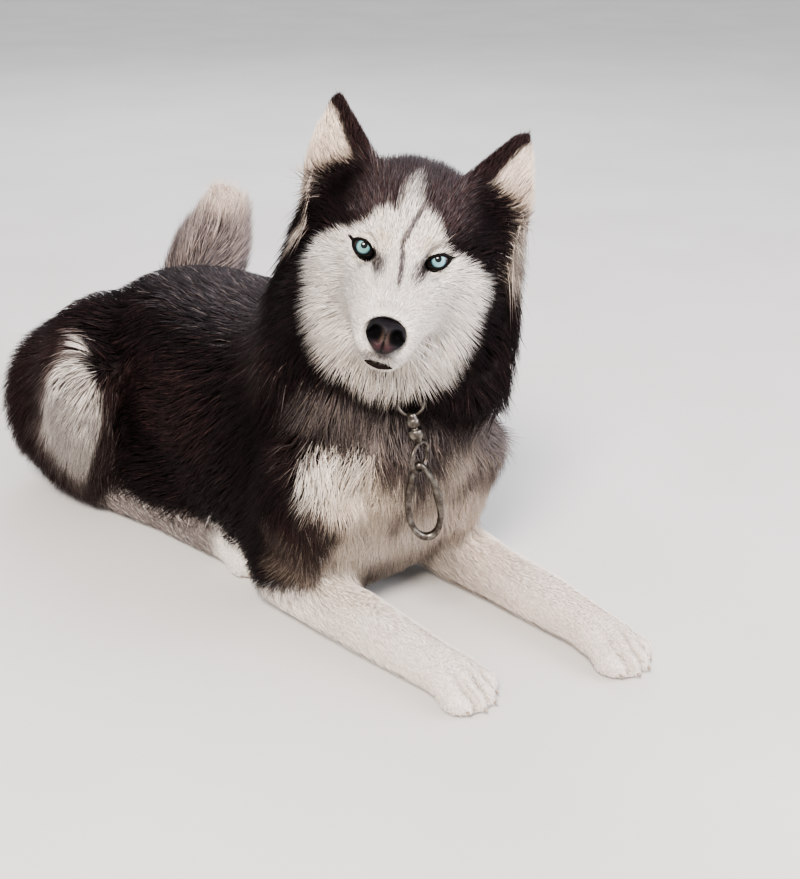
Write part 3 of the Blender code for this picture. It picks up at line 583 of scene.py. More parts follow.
def socketShape(points, lift):
    points = points.copy()
    ball, edge = eyeShape["socket"]
    for side, (*_, w) in eyes.items():
        distance, angle, height = inEye(points, side)
        close = (distance < edge) & (height > eyeShape["behind"])
        wanted = domeAt(distance, eyeShape["rimDepth"] - lift)
        mix = (1 - ramp(distance, ball, edge)) * close
        newHeight = height * (1 - mix) + wanted * mix
        hole = close & (distance < openingAt(angle, side) + 0.9 * mm)
        newHeight = np.where(hole, np.minimum(newHeight, domeAt(distance, eyeShape["behind"])), newHeight)
        points += (newHeight - height)[:, None] * np.array(w)
    return points


coatPulls = [  # body frame: place, radius, move in mm
    ((-0.155, -0.015, 0.100), 0.055, (26, -6, 0)),  # the right elbow stays close to the chest
]
for place, radius, move in coatPulls:
    away = np.linalg.norm(outer - np.array(bodyFrame @ Vector(place)), axis=1)
    outer = outer + np.exp(-(away / radius) ** 2)[:, None] * np.array(move) * mm
nape = labelled("head", "neck", "chest") * ramp(placed(outer, toHead)[:, 1], 0.065, 0.10)
outer = near.smooth(outer, 150, 0.5, near.smooth(nape[:, None], 4)[:, 0])
outer = groovesOfToes(outer)
outer = near.smooth(outer, 1, 0.3, fine.astype(float))
outer[:, 2] = np.maximum(outer[:, 2], 0.0002)

# Lie of the coat: place, direction of the hair, depth over the skin in mm, length in mm
headLie = [  # head frame, repeated on the other side
    ((0, -0.080, -0.034), (0, 1, 0.35), 2, 6), ((0.024, -0.078, -0.050), (0.3, 1, 0), 2.5, 7),
    ((0.020, -0.070, -0.068), (0.5, 0.7, -0.6), 3, 9), ((0, -0.068, -0.088), (0, 0.8, -0.6), 4, 12),
    ((0, -0.045, -0.012), (0, 1, 0.5), 2.5, 8), ((0.036, -0.040, -0.040), (0.35, 1, -0.05), 4, 12),
    ((0.034, -0.040, -0.070), (0.4, 0.8, -0.5), 5, 16), ((0, -0.012, 0.004), (0, 0.7, 1), 3, 9),
    ((0.018, -0.006, -0.002), (0.1, 0.8, 0.8), 2.5, 7), ((0.028, -0.002, 0.022), (0.25, 0.4, 1), 4, 12),
    ((0.048, 0.005, 0.016), (0.8, 0.6, 0.8), 4, 12), ((0, 0.010, 0.035), (0, 0.6, 1), 6, 16),
    ((0, 0.035, 0.062), (0, 1, 0.6), 8, 24), ((0, 0.070, 0.078), (0, 1, 0.1), 10, 30),
    ((0.055, 0.030, 0.025), (0.5, 1, 0.3), 8, 22), ((0.038, -0.006, -0.020), (0.7, 0.7, -0.2), 4, 12),
    ((0.045, 0.000, -0.045), (0.7, 0.7, -0.6), 8, 22), ((0.062, 0.012, -0.035), (0.8, 0.8, -0.5), 12, 32),
    ((0.050, 0.010, -0.075), (0.5, 0.4, -1), 18, 40), ((0.025, -0.020, -0.100), (0.2, 0.4, -1), 14, 34),
    ((0, 0, -0.115), (0, 0.1, -1), 22, 42), ((0.110, 0.060, -0.030), (0.5, 0.5, -0.8), 34, 60),
    ((0.095, 0.060, 0.030), (0.6, 0.4, -0.7), 12, 42), ((0.080, 0.040, 0.045), (0.6, 0.6, 0.2), 8, 26),
    ((0.100, 0.060, -0.120), (0.2, 0.2, -1), 42, 65),
    ((0, 0.150, 0.030), (0, 1, -0.6), 28, 50), ((0.060, 0.120, 0.030), (0.3, 1, -0.5), 28, 50),
]
earLie = [  # head frame, repeated on the other side
    ((0.090, 0.064, 0.118), (0.1, 0.05, 1), 2.5, 9), ((0.080, 0.078, 0.085), (0.1, 0, 1), 3, 11),
    ((0.075, 0.085, 0.055), (0.1, 0.2, 1), 4, 14), ((0.080, 0.050, 0.080), (0.45, -0.15, 1), 2.5, 18),
    ((0.075, 0.042, 0.055), (0.7, -0.4, 0.8), 3, 24), ((0.105, 0.062, 0.070), (0.6, 0, 0.9), 3, 17),
    ((0.062, 0.062, 0.085), (-0.1, -0.1, 1), 2.5, 10),
]
bodyLie = {  # body frame
    "neck": [((0.02, 0.03, 0.38), (0.1, 1, -0.5), 34, 60), ((-0.12, -0.05, 0.33), (-0.1, 0.3, -1), 38, 65),
             ((0.075, -0.09, 0.31), (0.35, 0, -1), 38, 65), ((-0.035, -0.15, 0.29), (0, -0.1, -1), 34, 55),
             ((-0.01, -0.16, 0.22), (0.05, 0, -1), 30, 55), ((0.06, -0.14, 0.24), (0.25, -0.1, -1), 32, 58),
             ((-0.13, -0.08, 0.24), (-0.1, 0.1, -1), 30, 58)],
    "chest": [((-0.03, -0.15, 0.20), (0, 0.05, -1), 28, 52), ((-0.01, -0.12, 0.10), (0, 0.3, -1), 20, 40),
              ((-0.125, 0, 0.22), (-0.1, 0.7, -1), 26, 52), ((-0.125, 0.02, 0.12), (-0.1, 0.9, -0.9), 22, 46),
              ((0.125, 0, 0.22), (0.1, 0.7, -1), 26, 52), ((0.125, 0.02, 0.12), (0.1, 0.9, -0.9), 22, 46),
              ((0, 0, 0.345), (0, 1, -0.1), 28, 55), ((0, -0.02, 0.03), (0, 1, -0.1), 16, 34)],
    "trunk": [((0, 0.10, 0.340), (0, 1, -0.05), 25, 50), ((0.008, 0.25, 0.315), (0, 1, -0.1), 25, 50),
              ((0.014, 0.40, 0.28), (0, 1, -0.35), 28, 55), ((0.018, 0.46, 0.20), (0, 0.5, -1), 30, 55),
              ((-0.135, 0.08, 0.20), (-0.05, 1, -0.4), 25, 50),
              ((-0.135, 0.22, 0.18), (-0.05, 1, -0.35), 25, 50),
              ((-0.118, 0.29, 0.16), (-0.1, 1, -0.4), 20, 45), ((-0.12, 0.15, 0.07), (0, 1, -0.5), 22, 45),
              ((0.135, 0.08, 0.20), (0.05, 1, -0.4), 25, 50), ((0.135, 0.22, 0.18), (0.05, 1, -0.35), 25, 50),
              ((0.125, 0.32, 0.20), (0.05, 1, -0.3), 25, 50), ((0.12, 0.15, 0.07), (0, 1, -0.5), 22, 45),
              ((0, 0.15, 0.015), (0, 1, 0), 14, 32), ((-0.150, 0.320, 0.225), (-0.6, 0.3, -0.7), 9, 42),
              ((-0.156, 0.291, 0.205), (-0.6, 0.05, -0.75), 5, 36),
              ((-0.150, 0.300, 0.190), (-0.6, 0.05, -0.75), 5, 36),
              ((-0.138, 0.306, 0.216), (-0.8, 0.30, -0.15), 5, 34),
              ((-0.130, 0.325, 0.220), (-0.65, 0.7, 0), 8, 38)],
    "tail": [((0.045, 0.47, 0.19), (0.6, 0.55, 0.15), 26, 58),
             ((0.085, 0.498, 0.202), (0.8, 0.2, 0.5), 26, 58),
             ((0.131, 0.504, 0.243), (0.5, -0.05, 0.85), 26, 60),
             ((0.150, 0.494, 0.290), (0.3, -0.15, 0.95), 24, 60),
             ((0.163, 0.488, 0.34), (0.2, -0.1, 1), 18, 50)],
    "thigh_right": [((-0.12, 0.42, 0.24), (-0.1, 0.8, -0.8), 26, 52),
                    ((-0.13, 0.46, 0.12), (-0.1, 0.5, -1), 28, 58),
                    ((-0.165, 0.38, 0.17), (-0.3, 0.4, -1), 20, 52),
                    ((-0.15, 0.34, 0.22), (-0.6, 0.4, -0.7), 10, 46),
                    ((-0.156, 0.291, 0.205), (-0.6, 0.05, -0.75), 5, 36)],
    "shank_right": [((-0.156, 0.291, 0.205), (-0.6, 0.05, -0.75), 5, 36),
                    ((-0.150, 0.315, 0.245), (-0.65, 0.3, -0.7), 8, 42),
                    ((-0.17, 0.31, 0.20), (-0.6, 0.2, -0.75), 10, 44),
                    ((-0.185, 0.32, 0.14), (-0.4, 0.15, -0.9), 14, 50),
                    ((-0.175, 0.34, 0.07), (-0.15, 0, -1), 14, 44),
                    ((-0.15, 0.36, 0.03), (-0.1, -0.3, -0.7), 8, 26)],
    "hind_pastern_right": [((-0.115, 0.30, 0.045), (0.1, -1, -0.15), 6, 16),
                           ((-0.09, 0.16, 0.04), (0.15, -1, -0.1), 5, 13)],
    "hindpaw_right": [((-0.078, 0.12, 0.045), (0.1, -1, -0.2), 3, 8),
                      ((-0.072, 0.078, 0.02), (0, -0.7, -1), 2, 6)],
    "thigh_left": [((0.09, 0.42, 0.18), (0.2, 0.5, -1), 26, 52),
                   ((0.135, 0.33, 0.14), (0.3, -0.1, -1), 24, 48),
                   ((0.13, 0.27, 0.10), (0.3, -0.6, -1), 18, 40)],
    "shank_left": [((0.155, 0.30, 0.09), (0.4, 0.2, -1), 14, 40),
                   ((0.155, 0.37, 0.05), (0.3, 0.5, -0.8), 12, 34)],
    "hind_pastern_left": [((0.155, 0.33, 0.045), (0.1, -1, -0.1), 6, 16),
                          ((0.158, 0.27, 0.04), (0, -1, -0.1), 5, 13)],
    "hindpaw_left": [((0.158, 0.22, 0.04), (0, -1, -0.2), 3.5, 9),
                     ((0.158, 0.19, 0.02), (0, -0.7, -1), 2, 6)],
    "upper_arm_right": [((-0.11, -0.11, 0.17), (0.25, -0.1, -1), 24, 50),
                        ((-0.14, -0.07, 0.13), (-0.15, 0.4, -1), 20, 44),
                        ((-0.13, -0.01, 0.06), (-0.2, 0.9, -0.7), 12, 32),
                        ((-0.125, -0.06, 0.22), (-0.05, 0.1, -1), 26, 46),
                        ((-0.135, -0.105, 0.205), (0.2, -0.2, -1), 16, 34),
                        ((-0.145, -0.095, 0.16), (0.15, -0.1, -1), 16, 36),
                        ((-0.09, -0.10, 0.09), (0.05, -0.3, -1), 12, 28)],
    "upper_arm_left": [((0.09, -0.12, 0.18), (0.15, -0.1, -1), 24, 50),
                       ((0.12, -0.06, 0.13), (0.25, 0.4, -1), 20, 44),
                       ((0.11, 0, 0.06), (0.2, 0.9, -0.7), 12, 32),
                       ((0.08, -0.11, 0.10), (0.05, -0.4, -1), 12, 28)],
    "forearm_right": [((-0.09, -0.04, 0.07), (0.1, -1, -0.35), 9, 22),
                      ((-0.08, -0.12, 0.06), (0.12, -1, -0.25), 6, 15),
                      ((-0.066, -0.20, 0.045), (0.1, -1, -0.1), 4, 10),
                      ((-0.08, -0.10, 0.01), (0.1, -1, 0), 4, 10)],
    "forearm_left": [((0.09, -0.05, 0.07), (0.05, -1, -0.3), 9, 22),
                     ((0.10, -0.14, 0.06), (0.05, -1, -0.2), 6, 15),
                     ((0.106, -0.25, 0.045), (0.03, -1, -0.1), 4, 10),
                     ((0.10, -0.14, 0.008), (0, -1, 0), 4, 10)],
    "forepaw_right": [((-0.058, -0.235, 0.05), (0.15, -1, -0.1), 3, 8),
                      ((-0.052, -0.272, 0.03), (0.1, -1, -0.7), 2, 5),
                      ((-0.052, -0.283, 0.012), (0, -0.5, -1), 2, 5)],
    "forepaw_left": [((0.107, -0.295, 0.05), (0.03, -1, -0.1), 3, 8),
                     ((0.108, -0.332, 0.03), (0, -1, -0.7), 2, 5),
                     ((0.108, -0.342, 0.012), (0, -0.5, -1), 2, 5)],
}


def mirroredRows(rows):
    return [((x * s, y, z), (a * s, b, c), depth, length)
            for (x, y, z), (a, b, c), depth, length in rows for s in ((1, -1) if x else (1,))]


def lieOfCoat():
    groups = [(("head", "muzzle", "lower_jaw"), mirroredRows(headLie), headFrame),
              (("ear_left", "ear_right"), mirroredRows(earLie), headFrame)]
    groups += [((name,), rows, bodyFrame) for name, rows in bodyLie.items()]
    lie = np.zeros((len(outer), 5))  # direction, depth, length
    for names, rows, frameOf in groups:
        mask = labelled(*names)
        places = placed([row[0] for row in rows], frameOf)
        flows = unit(turned([row[1] for row in rows], frameOf))
        facts = np.hstack([flows, np.array([[row[2] * mm, row[3] * mm] for row in rows])])
        square = ((outer[mask][:, None, :] - places[None]) ** 2).sum(2)
        weight = 1 / (square + 6e-5) ** 2.5
        lie[mask] = (weight / weight.sum(1, keepdims=True)) @ facts
    return lie


lie = lieOfCoat()
rough = 1 - 0.8 * fine
lie = near.smooth(lie, 14, 0.5, rough)
lie = near.smooth(lie, 3, 0.5)
depth, length = lie[:, 3], lie[:, 4]
belly = ramp(outer[:, 2], 0.004, 0.05)  # the coat is pressed flat where the dog lies on it
depth = depth * (0.45 + 0.55 * belly)


# The skin: the same surface drawn in by the depth of the coat, but never past the middle of a thin part
roughTree = BVHTree.FromPolygons([Vector(p) for p in outer], tris.tolist())
inwards = normalsOf(outer, tris)
thick = np.array([roughTree.ray_cast(Vector(p - n * mm), Vector(-n))[3] or 1.0
                  for p, n in zip(outer, inwards)])
thick = np.minimum(thick, near.smooth(thick[:, None], 3)[:, 0])
depth = np.minimum(depth, 0.36 * thick + 0.5 * mm)
depth = near.smooth(depth[:, None], 4, 0.5)[:, 0]


def skinInside():
    skin = outer.copy()
    steps = 10
    middle = np.array(bodyFrame @ Vector(collar["middle"]))
    axis = np.array(Vector(collar["axis"]).normalized())
    for _ in range(steps):
        normals = near.smooth(normalsOf(skin, tris), 4, 0.6, rough)
        skin = skin - unit(normals) * (depth / steps)[:, None]
        skin = near.smooth(skin, 1, 0.25, rough)
    away = skin - middle
    along = away @ axis
    radial = away - along[:, None] * axis
    wide = np.linalg.norm(radial, axis=1)
    close = np.exp(-(along / collar["reach"]) ** 4) * (wide < 0.14)
    close = close * labelled("neck", "chest", "head", "lower_jaw")
    shrink = np.minimum(1, collar["skin"] / np.maximum(wide, 1e-6))
    skin = middle + along[:, None] * axis + radial * (1 - close * (1 - shrink))[:, None]
    skin = near.smooth(skin, 1, 0.3, rough)
    skin[:, 2] = np.maximum(skin[:, 2], 0.002)
    return skin


# where the skin would fold over itself the coat is made shallower
evenNormals = unit(near.smooth(normalsOf(outer, tris), 2))
for _ in range(4):
    skin = skinInside()
    folded = ((normalsOf(skin, tris) * evenNormals).sum(1) < 0.5).astype(float)
    spread = near.smooth(folded[:, None], 5)[:, 0]
    depth = depth * (1 - 0.5 * np.clip(3 * spread, 0, 1))
    depth = near.smooth(depth[:, None], 3)[:, 0]
skin = skinInside()
outer, skin = socketShape(outer, 0.0), socketShape(skin, 1.8 * mm)
noseSpot = {"half": (17.8 * mm, 15.0 * mm), "middle": -50.6 * mm, "behind": -68 * mm, "floor": -80 * mm}


def behindNose(points):
    head = placed(points, toHead)
    out = np.hypot(head[:, 0] / noseSpot["half"][0], (head[:, 2] - noseSpot["middle"]) / noseSpot["half"][1])
    pressed = np.maximum(head[:, 1], noseSpot["floor"] - 30 * mm * np.clip(out - 0.9, 0, 2))
    head[:, 1] = np.where((head[:, 1] < noseSpot["behind"]) & (out < 1.6), pressed, head[:, 1])
    return placed(head, headFrame)


skin = behindNose(skin)
skinNormals = unit(near.smooth(normalsOf(skin, tris), 2))
outerNormals = unit(near.smooth(normalsOf(outer, tris), 1))
hairNormals = unit(0.65 * evenNormals + 0.35 * skinNormals)
flow = unit(lie[:, :3] - (lie[:, :3] * hairNormals).sum(1, keepdims=True) * hairNormals)
coatTree = BVHTree.FromPolygons([Vector(p) for p in outer], tris.tolist())
report("skin and lie of the coat")

# Markings, with painted shade, shadow and sheen among them: pigments laid over each other
pigments = {
    "black": "#1f181a", "brown": "#523c39", "slate": "#5f5a60", "grey": "#968b86", "tan": "#b9a795",
    "cream": "#e6d7c6", "white": "#f5efe9", "pink": "#efd8cc",
}
pigmentNames = list(pigments)
pigmentColours = np.array([linear(value)[:3] for value in pigments.values()])
plainCoat = {"black": 0.94, "brown": 0.06}
nodeCoat = {
    "forearm_right": {"white": 0.76, "cream": 0.08, "pink": 0.16},
    "forearm_left": {"white": 0.6, "cream": 0.12, "pink": 0.28},
    "forepaw_right": {"white": 0.7, "cream": 0.1, "pink": 0.2},
    "forepaw_left": {"white": 0.65, "cream": 0.1, "pink": 0.25},
    "hindpaw_right": {"white": 0.9, "cream": 0.1}, "hindpaw_left": {"white": 0.9, "cream": 0.1},
    "hind_pastern_right": {"grey": 0.45, "white": 0.2, "brown": 0.25, "black": 0.1},
    "hind_pastern_left": {"grey": 0.35, "white": 0.65},
    "shank_right": {"black": 0.55, "brown": 0.3, "grey": 0.15},
    "shank_left": {"white": 0.7, "grey": 0.2, "cream": 0.1},
    "tail": {"black": 0.20, "slate": 0.38, "grey": 0.27, "brown": 0.03, "pink": 0.12},
    "thigh_right": {"black": 0.68, "brown": 0.28, "grey": 0.04},
    "neck": {"black": 0.82, "brown": 0.15, "grey": 0.03},
    "muzzle": {"white": 0.85, "cream": 0.15}, "lower_jaw": {"white": 0.7, "cream": 0.3},
}
bodyMarksShadeAndSheen = [  # body frame: centre, radii, how much, pigments
    ((0, 0.15, 0.36), (0.11, 0.50, 0.09), 0.42, {"slate": 0.8, "grey": 0.2}),  # grey sheen of the back
    ((-0.14, 0.20, 0.20), (0.05, 0.12, 0.06), 0.2, {"brown": 1.0}),  # brown lights on the flank
    ((-0.095, -0.110, 0.262), (0.060, 0.060, 0.036), 0.62, {"grey": 0.72, "slate": 0.18, "tan": 0.1}),
    ((-0.050, -0.135, 0.230), (0.050, 0.040, 0.036), 0.55, {"grey": 0.65, "slate": 0.23, "tan": 0.12}),
    ((0.060, -0.135, 0.215), (0.060, 0.060, 0.055), 0.70, {"grey": 0.62, "slate": 0.26, "tan": 0.12}),
    ((0.078, -0.125, 0.172), (0.052, 0.060, 0.036), 0.85, {"grey": 0.62, "slate": 0.26, "tan": 0.12}),
    ((0.020, -0.150, 0.175), (0.050, 0.040, 0.035), 0.75, {"grey": 0.3, "tan": 0.3, "cream": 0.4}),
    ((-0.117, -0.119, 0.205), (0.038, 0.038, 0.036), 0.95, {"white": 0.5, "cream": 0.5}),
    ((-0.090, -0.118, 0.165), (0.055, 0.050, 0.046), 0.95, {"cream": 0.74, "tan": 0.26}),
    ((-0.050, -0.105, 0.115), (0.058, 0.050, 0.050), 0.92, {"cream": 0.85, "tan": 0.15}),
    ((0.000, -0.110, 0.100), (0.060, 0.050, 0.055), 0.92, {"cream": 0.7, "white": 0.2, "pink": 0.1}),
    ((0.075, -0.110, 0.092), (0.055, 0.070, 0.050), 0.92, {"cream": 0.5, "pink": 0.3, "white": 0.2}),
    ((-0.085, -0.080, 0.085), (0.045, 0.060, 0.035), 0.9, {"cream": 0.7, "white": 0.3}),
    ((-0.134, -0.090, 0.140), (0.038, 0.040, 0.045), 0.92, {"black": 0.65, "brown": 0.35}),
    ((-0.132, -0.058, 0.102), (0.038, 0.050, 0.045), 0.9, {"black": 0.55, "brown": 0.35, "tan": 0.1}),
    ((-0.130, -0.040, 0.070), (0.030, 0.040, 0.022), 0.6, {"brown": 0.5, "tan": 0.5}),
    # painted shadow along the fold between the grey ruff and the cream patch of the right upper arm, in this
    # row and the next two
    ((-0.120, -0.078, 0.243), (0.030, 0.024, 0.008), 0.75, {"black": 0.7, "brown": 0.3}),  # fold
    ((-0.098, -0.110, 0.236), (0.026, 0.024, 0.008), 0.7, {"black": 0.6, "brown": 0.4}),
    ((-0.072, -0.138, 0.213), (0.022, 0.022, 0.014), 0.55, {"black": 0.5, "brown": 0.5}),
    ((0.050, 0.470, 0.190), (0.060, 0.060, 0.055), 0.8, {"black": 0.75, "grey": 0.25}),
    ((0, -0.06, 0.02), (0.09, 0.13, 0.05), 0.8, {"cream": 0.5, "grey": 0.35, "brown": 0.15}),
    ((0.002, -0.130, 0.150), (0.026, 0.040, 0.036), 0.5, {"grey": 0.6, "tan": 0.4}),
    # painted shade: a dark line down the edge of the right upper arm, where the chest goes back behind it
    ((-0.032, -0.122, 0.150), (0.011, 0.040, 0.050), 0.6, {"brown": 0.5, "grey": 0.5}),
    ((0.165, 0.490, 0.310), (0.07, 0.07, 0.05), 0.2, {"pink": 0.6, "grey": 0.4}),
    ((0.165, 0.488, 0.355), (0.07, 0.07, 0.040), 0.75, {"pink": 0.5, "cream": 0.5}),
]
shankLine = [  # outline of the pale patch in mm across and up in sidePlane
    (-342, 292), (-331, 274), (-319, 250), (-307, 222), (-307, 188), (-319, 153), (-336, 115), (-354, 115),
    (-372, 133),
    (-392, 158), (-403, 177), (-377, 212), (-357, 247), (-342, 271)]
# the plane that faces the dog's right side and front
sidePlane = np.array([[0.766, -0.643, 0.0], [0.272, 0.324, 0.906]])
maskLine = [  # head frame x, z in mm round the white face
    (-89, -14), (-93, -34), (-88, -57), (-82, -78), (-72, -99), (-62, -117), (-36, -133), (-7, -145),
    (16, -146),
    (42, -135), (65, -113), (77, -91), (81, -71), (81, -47), (86, -30), (83, -15), (71, 0), (55, 6), (43, 12),
    (35, 24),
    (23, 42), (12, 50), (8, 56), (1, 66), (-7, 60), (-12, 41), (-22, 44), (-31, 40), (-40, 24), (-51, 13),
    (-65, 11), (-78, 1)]
drawnLinesAndShadow = [  # head frame x, z in mm, how much, half widths, only where y is less, pigments
    ([(9, 46), (6, 38), (3, 31), (0, 23), (-2.5, 16), (0, 8), (1.5, 0), (2.5, -11)], 0.85, (1.2, 3.4), 30,
     {"slate": 0.55, "brown": 0.3, "black": 0.15}),  # down the forehead
    # painted shadow: a thin grey line running on from the corner of the mouth
    ([(-11, -78.5), (-16, -76), (-20, -72)], 0.55, (0.6, 2.2), -55,
     {"slate": 0.6, "black": 0.4}),  # from the corner of the mouth
]
headMarksAndShade = [  # head frame, both sides: centre, radii in mm, how much, pigments
    ((18, -18, -4), (6.5, 45, 8.5), 0.7, {"black": 0.35, "slate": 0.45, "brown": 0.2}),  # smudge by the eye
    ((22.5, -12, -3), (4.5, 40, 4.5), 0.8, {"black": 0.8, "brown": 0.2}),
    ((21, -10, 15), (9, 40, 10), 0.5, {"cream": 0.75, "tan": 0.25}),  # cream over the inner end of the eye
    ((22, 0, 30), (9, 12, 9), 0.25, {"cream": 0.6, "tan": 0.4}),
    ((0, -74, -28), (13, 10, 5), 0.3, {"grey": 0.7, "brown": 0.3}),
    ((0, -50, -16), (5, 20, 6), 0.16, {"grey": 0.6, "brown": 0.4}),
    ((0, -80, -70), (12, 30, 5.0), 0.7, {"black": 0.3, "slate": 0.4, "grey": 0.3}),  # shade under the nose
    # painted shade as well, between the nose and the mouth on both sides of the middle
    ((8, -78, -72), (11, 12, 4), 0.5, {"grey": 0.5, "brown": 0.5}),
]


def shareOf(mix):
    row = np.zeros(len(pigmentNames))
    for name, part in mix.items():
        row[pigmentNames.index(name)] = part
    return row / row.sum()


def laid(weights, cover, mix):
    return weights * (1 - cover[:, None]) + cover[:, None] * shareOf(mix)


# 1 inside an ellipsoid and 0 outside, with a soft edge
def blob(points, centre, radii, edge=0.3):
    away = np.linalg.norm((points - np.array(centre)) / np.array(radii), axis=1)
    return np.clip((1 + edge - away) / (2 * edge), 0, 1)


def lineDistance(points, line):
    best = np.full(len(points), 1e9)
    for a, b in zip(line[:-1], line[1:]):
        a, b = np.array(a, float), np.array(b, float)
        t = np.clip(((points - a) @ (b - a)) / max((b - a) @ (b - a), 1e-9), 0, 1)
        best = np.minimum(best, np.linalg.norm(points - a - t[:, None] * (b - a), axis=1))
    return best


# How far points are inside a closed line, and less than 0 outside it
def depthInside(points, line):
    inside = np.zeros(len(points), bool)
    for (ax, ay), (bx, by) in zip(line, line[1:] + line[:1]):
        crosses = (ay > points[:, 1]) != (by > points[:, 1])
        at = (bx - ax) * (points[:, 1] - ay) / ((by - ay) or 1e-9) + ax
        inside ^= crosses & (points[:, 0] < at)
    return np.where(inside, 1, -1) * lineDistance(points, line + line[:1])


baseWeights = np.array([shareOf(nodeCoat.get(name, plainCoat)) for name in fleshNodes])[labels]
baseWeights = near.smooth(baseWeights, 10, 0.5)
headShare = near.smooth(labelled("head", "muzzle", "lower_jaw").astype(float)[:, None], 3, 0.5)
earShare = ears.astype(float)[:, None]
hollowSide = {s: unit(turned([(0.34 * s, -0.92, 0.0)], headFrame))[0] for s in (-1, 1)}


def painted(points, normals, base, headPart, earPart):
    weights = base.copy()
    body, head = placed(points, toBody), placed(points, toHead) / mm
    wander = sum(np.sin(body @ np.array(steep)) for steep in ((61.0, 47.0, 83.0), (-97.0, 131.0, 71.0))) * 0.5
    for centre, radii, cover, mix in bodyMarksShadeAndSheen:
        amount = blob(body * (1 + 0.012 * wander[:, None]), centre, radii) * cover * (1 - headPart)
        weights = laid(weights, amount, mix)
    plane = body @ sidePlane.T / mm
    inPatch = depthInside(plane, shankLine) + 4 * wander
    byShank = (body[:, 0] < -0.10) & (body[:, 1] > 0.24) & (body[:, 1] < 0.44)
    weights = laid(weights, ramp(inPatch, -5, 5) * byShank, {"white": 0.44, "grey": 0.44, "cream": 0.12})
    ring = ramp(inPatch, -26, -4) * (1 - ramp(inPatch, -5, 5)) * byShank * (plane[:, 0] < -338)
    weights = laid(weights, 0.6 * ring, {"grey": 0.6, "brown": 0.4})
    # painted shade in the grooves between the toes
    for name in paws:
        shadeBetweenToes = np.clip(betweenToes(points, name), 0, 1) * (points[:, 2] < 0.05)
        weights = laid(weights, 0.55 * shadeBetweenToes, {"tan": 0.5, "brown": 0.5})
    # the cap is brown-black, the face white inside its line
    side = np.where(head[:, 0] > 0, 1, -1)
    cap = headPart * ramp(head[:, 2], 15, 45) * (1 - ramp(np.abs(head[:, 0]), 40, 70))
    weights = laid(weights, 0.66 * cap, {"brown": 0.58, "slate": 0.34, "grey": 0.08})
    across = head[:, [0, 2]]
    signed = depthInside(across, maskLine) + 2.5 * wander - np.maximum(0, head[:, 1] - 40) * 1.2
    soft = 2.5 + 5 * ramp(head[:, 2], 38, 60)
    whiteFace = np.clip((signed + soft) / (2 * soft), 0, 1) * ramp(headPart, 0.1, 0.6)
    weights = laid(weights, whiteFace, {"white": 0.8, "cream": 0.2})
    weights = laid(weights, 0.35 * whiteFace * ramp(-head[:, 2], 60, 110), {"cream": 0.9, "tan": 0.1})
    for line, cover, (inner, rim), reach, mix in drawnLinesAndShadow:
        drawn = (1 - ramp(lineDistance(across, line), inner, rim)) * (head[:, 1] < reach)
        weights = laid(weights, cover * headPart * drawn, mix)
    mirrored = head * np.column_stack([side, np.ones(len(side)), np.ones(len(side))])
    for centre, radii, cover, mix in headMarksAndShade:
        weights = laid(weights, blob(mirrored, centre, radii, 0.4) * cover * headPart, mix)
    for s in (-1, 1):
        distance, angle, height = inEye(points, s)
        rim = (distance < openingAt(angle, s) + lidAt(angle) * 0.95) & (height > 0) & (distance < 0.02)
        weights = laid(weights, rim.astype(float), {"black": 1.0})
    # pale fluff down the sides from the outer edge of each ear
    edge = np.where(side > 0, blob(mirrored, (113, 62, 28), (18, 30, 56), 0.35),
                    blob(mirrored, (112, 62, 50), (18, 30, 30), 0.35))
    edge = edge * ramp(np.abs(head[:, 0]), 96, 107) * headPart
    weights = laid(weights, 0.55 * edge, {"cream": 0.5, "grey": 0.4, "white": 0.1})
    # ears: cream inside, black-brown along the inner edge, at the tip and behind
    facing = np.where(side > 0, normals @ hollowSide[1], normals @ hollowSide[-1])
    up = np.clip((head[:, 2] - 52) / 70, 0, 1.1)
    middle = 68 + 22 * up
    darkEdge = ramp(up, 0.72, 0.92) + (1 - ramp(mirrored[:, 0] - middle, -16 + 18 * up, -8 + 18 * up))
    weights = laid(weights, earPart, {"black": 0.75, "brown": 0.25})
    pale = earPart * ramp(facing, 0.0, 0.3) * (1 - np.clip(darkEdge, 0, 1))
    weights = laid(weights, pale, {"cream": 0.7, "pink": 0.2, "white": 0.1})
    weights = laid(weights, 0.5 * pale * (1 - ramp(up, 0.1, 0.5)), {"tan": 0.5, "brown": 0.5})
    outside = earPart * (1 - ramp(facing, 0.0, 0.3)) * ramp(mirrored[:, 0] - middle, 8, 14)
    outside = outside * (1 - ramp(up, 0.6, 0.85))
    return laid(weights, 0.8 * outside, {"cream": 0.8, "tan": 0.2})


skinWeights = painted(outer, outerNormals, baseWeights, headShare[:, 0], earShare[:, 0])
skinColour = skinWeights @ pigmentColours
# painted shade: the skin's colours are darkened, to half on the black coat and less on pale coat, for the
# shade between the tufts
skinColour = skinColour * (0.5 + 0.35 * np.clip(skinColour.mean(1, keepdims=True) / 0.7, 0, 1))
skinMesh = formMesh
skinMesh.name = "skin"
skinMesh.vertices.foreach_set("co", skin.astype(np.float32).ravel())
ringShade = skinMesh.color_attributes.new(name="coat", type="FLOAT_COLOR", domain="POINT")
ringShade.data.foreach_set("color", np.hstack([skinColour, np.ones((len(skin), 1))]).astype(np.float32).ravel())
skinMesh.shade_smooth()
skinMesh.update()
finished("skin", skinMesh, underwool, fleshNodes)
report("markings and skin")

# Coat pieces: tufts of three-sided hair locks over one region each
faceLabels = labels[tris[:, 0]]
faceHead = inHead[tris].mean(1)
faceBody = placed(outer[tris].mean(1), toBody)


def faceIn(*names):
    return np.isin(faceLabels, [fleshNodes.index(name) for name in names])


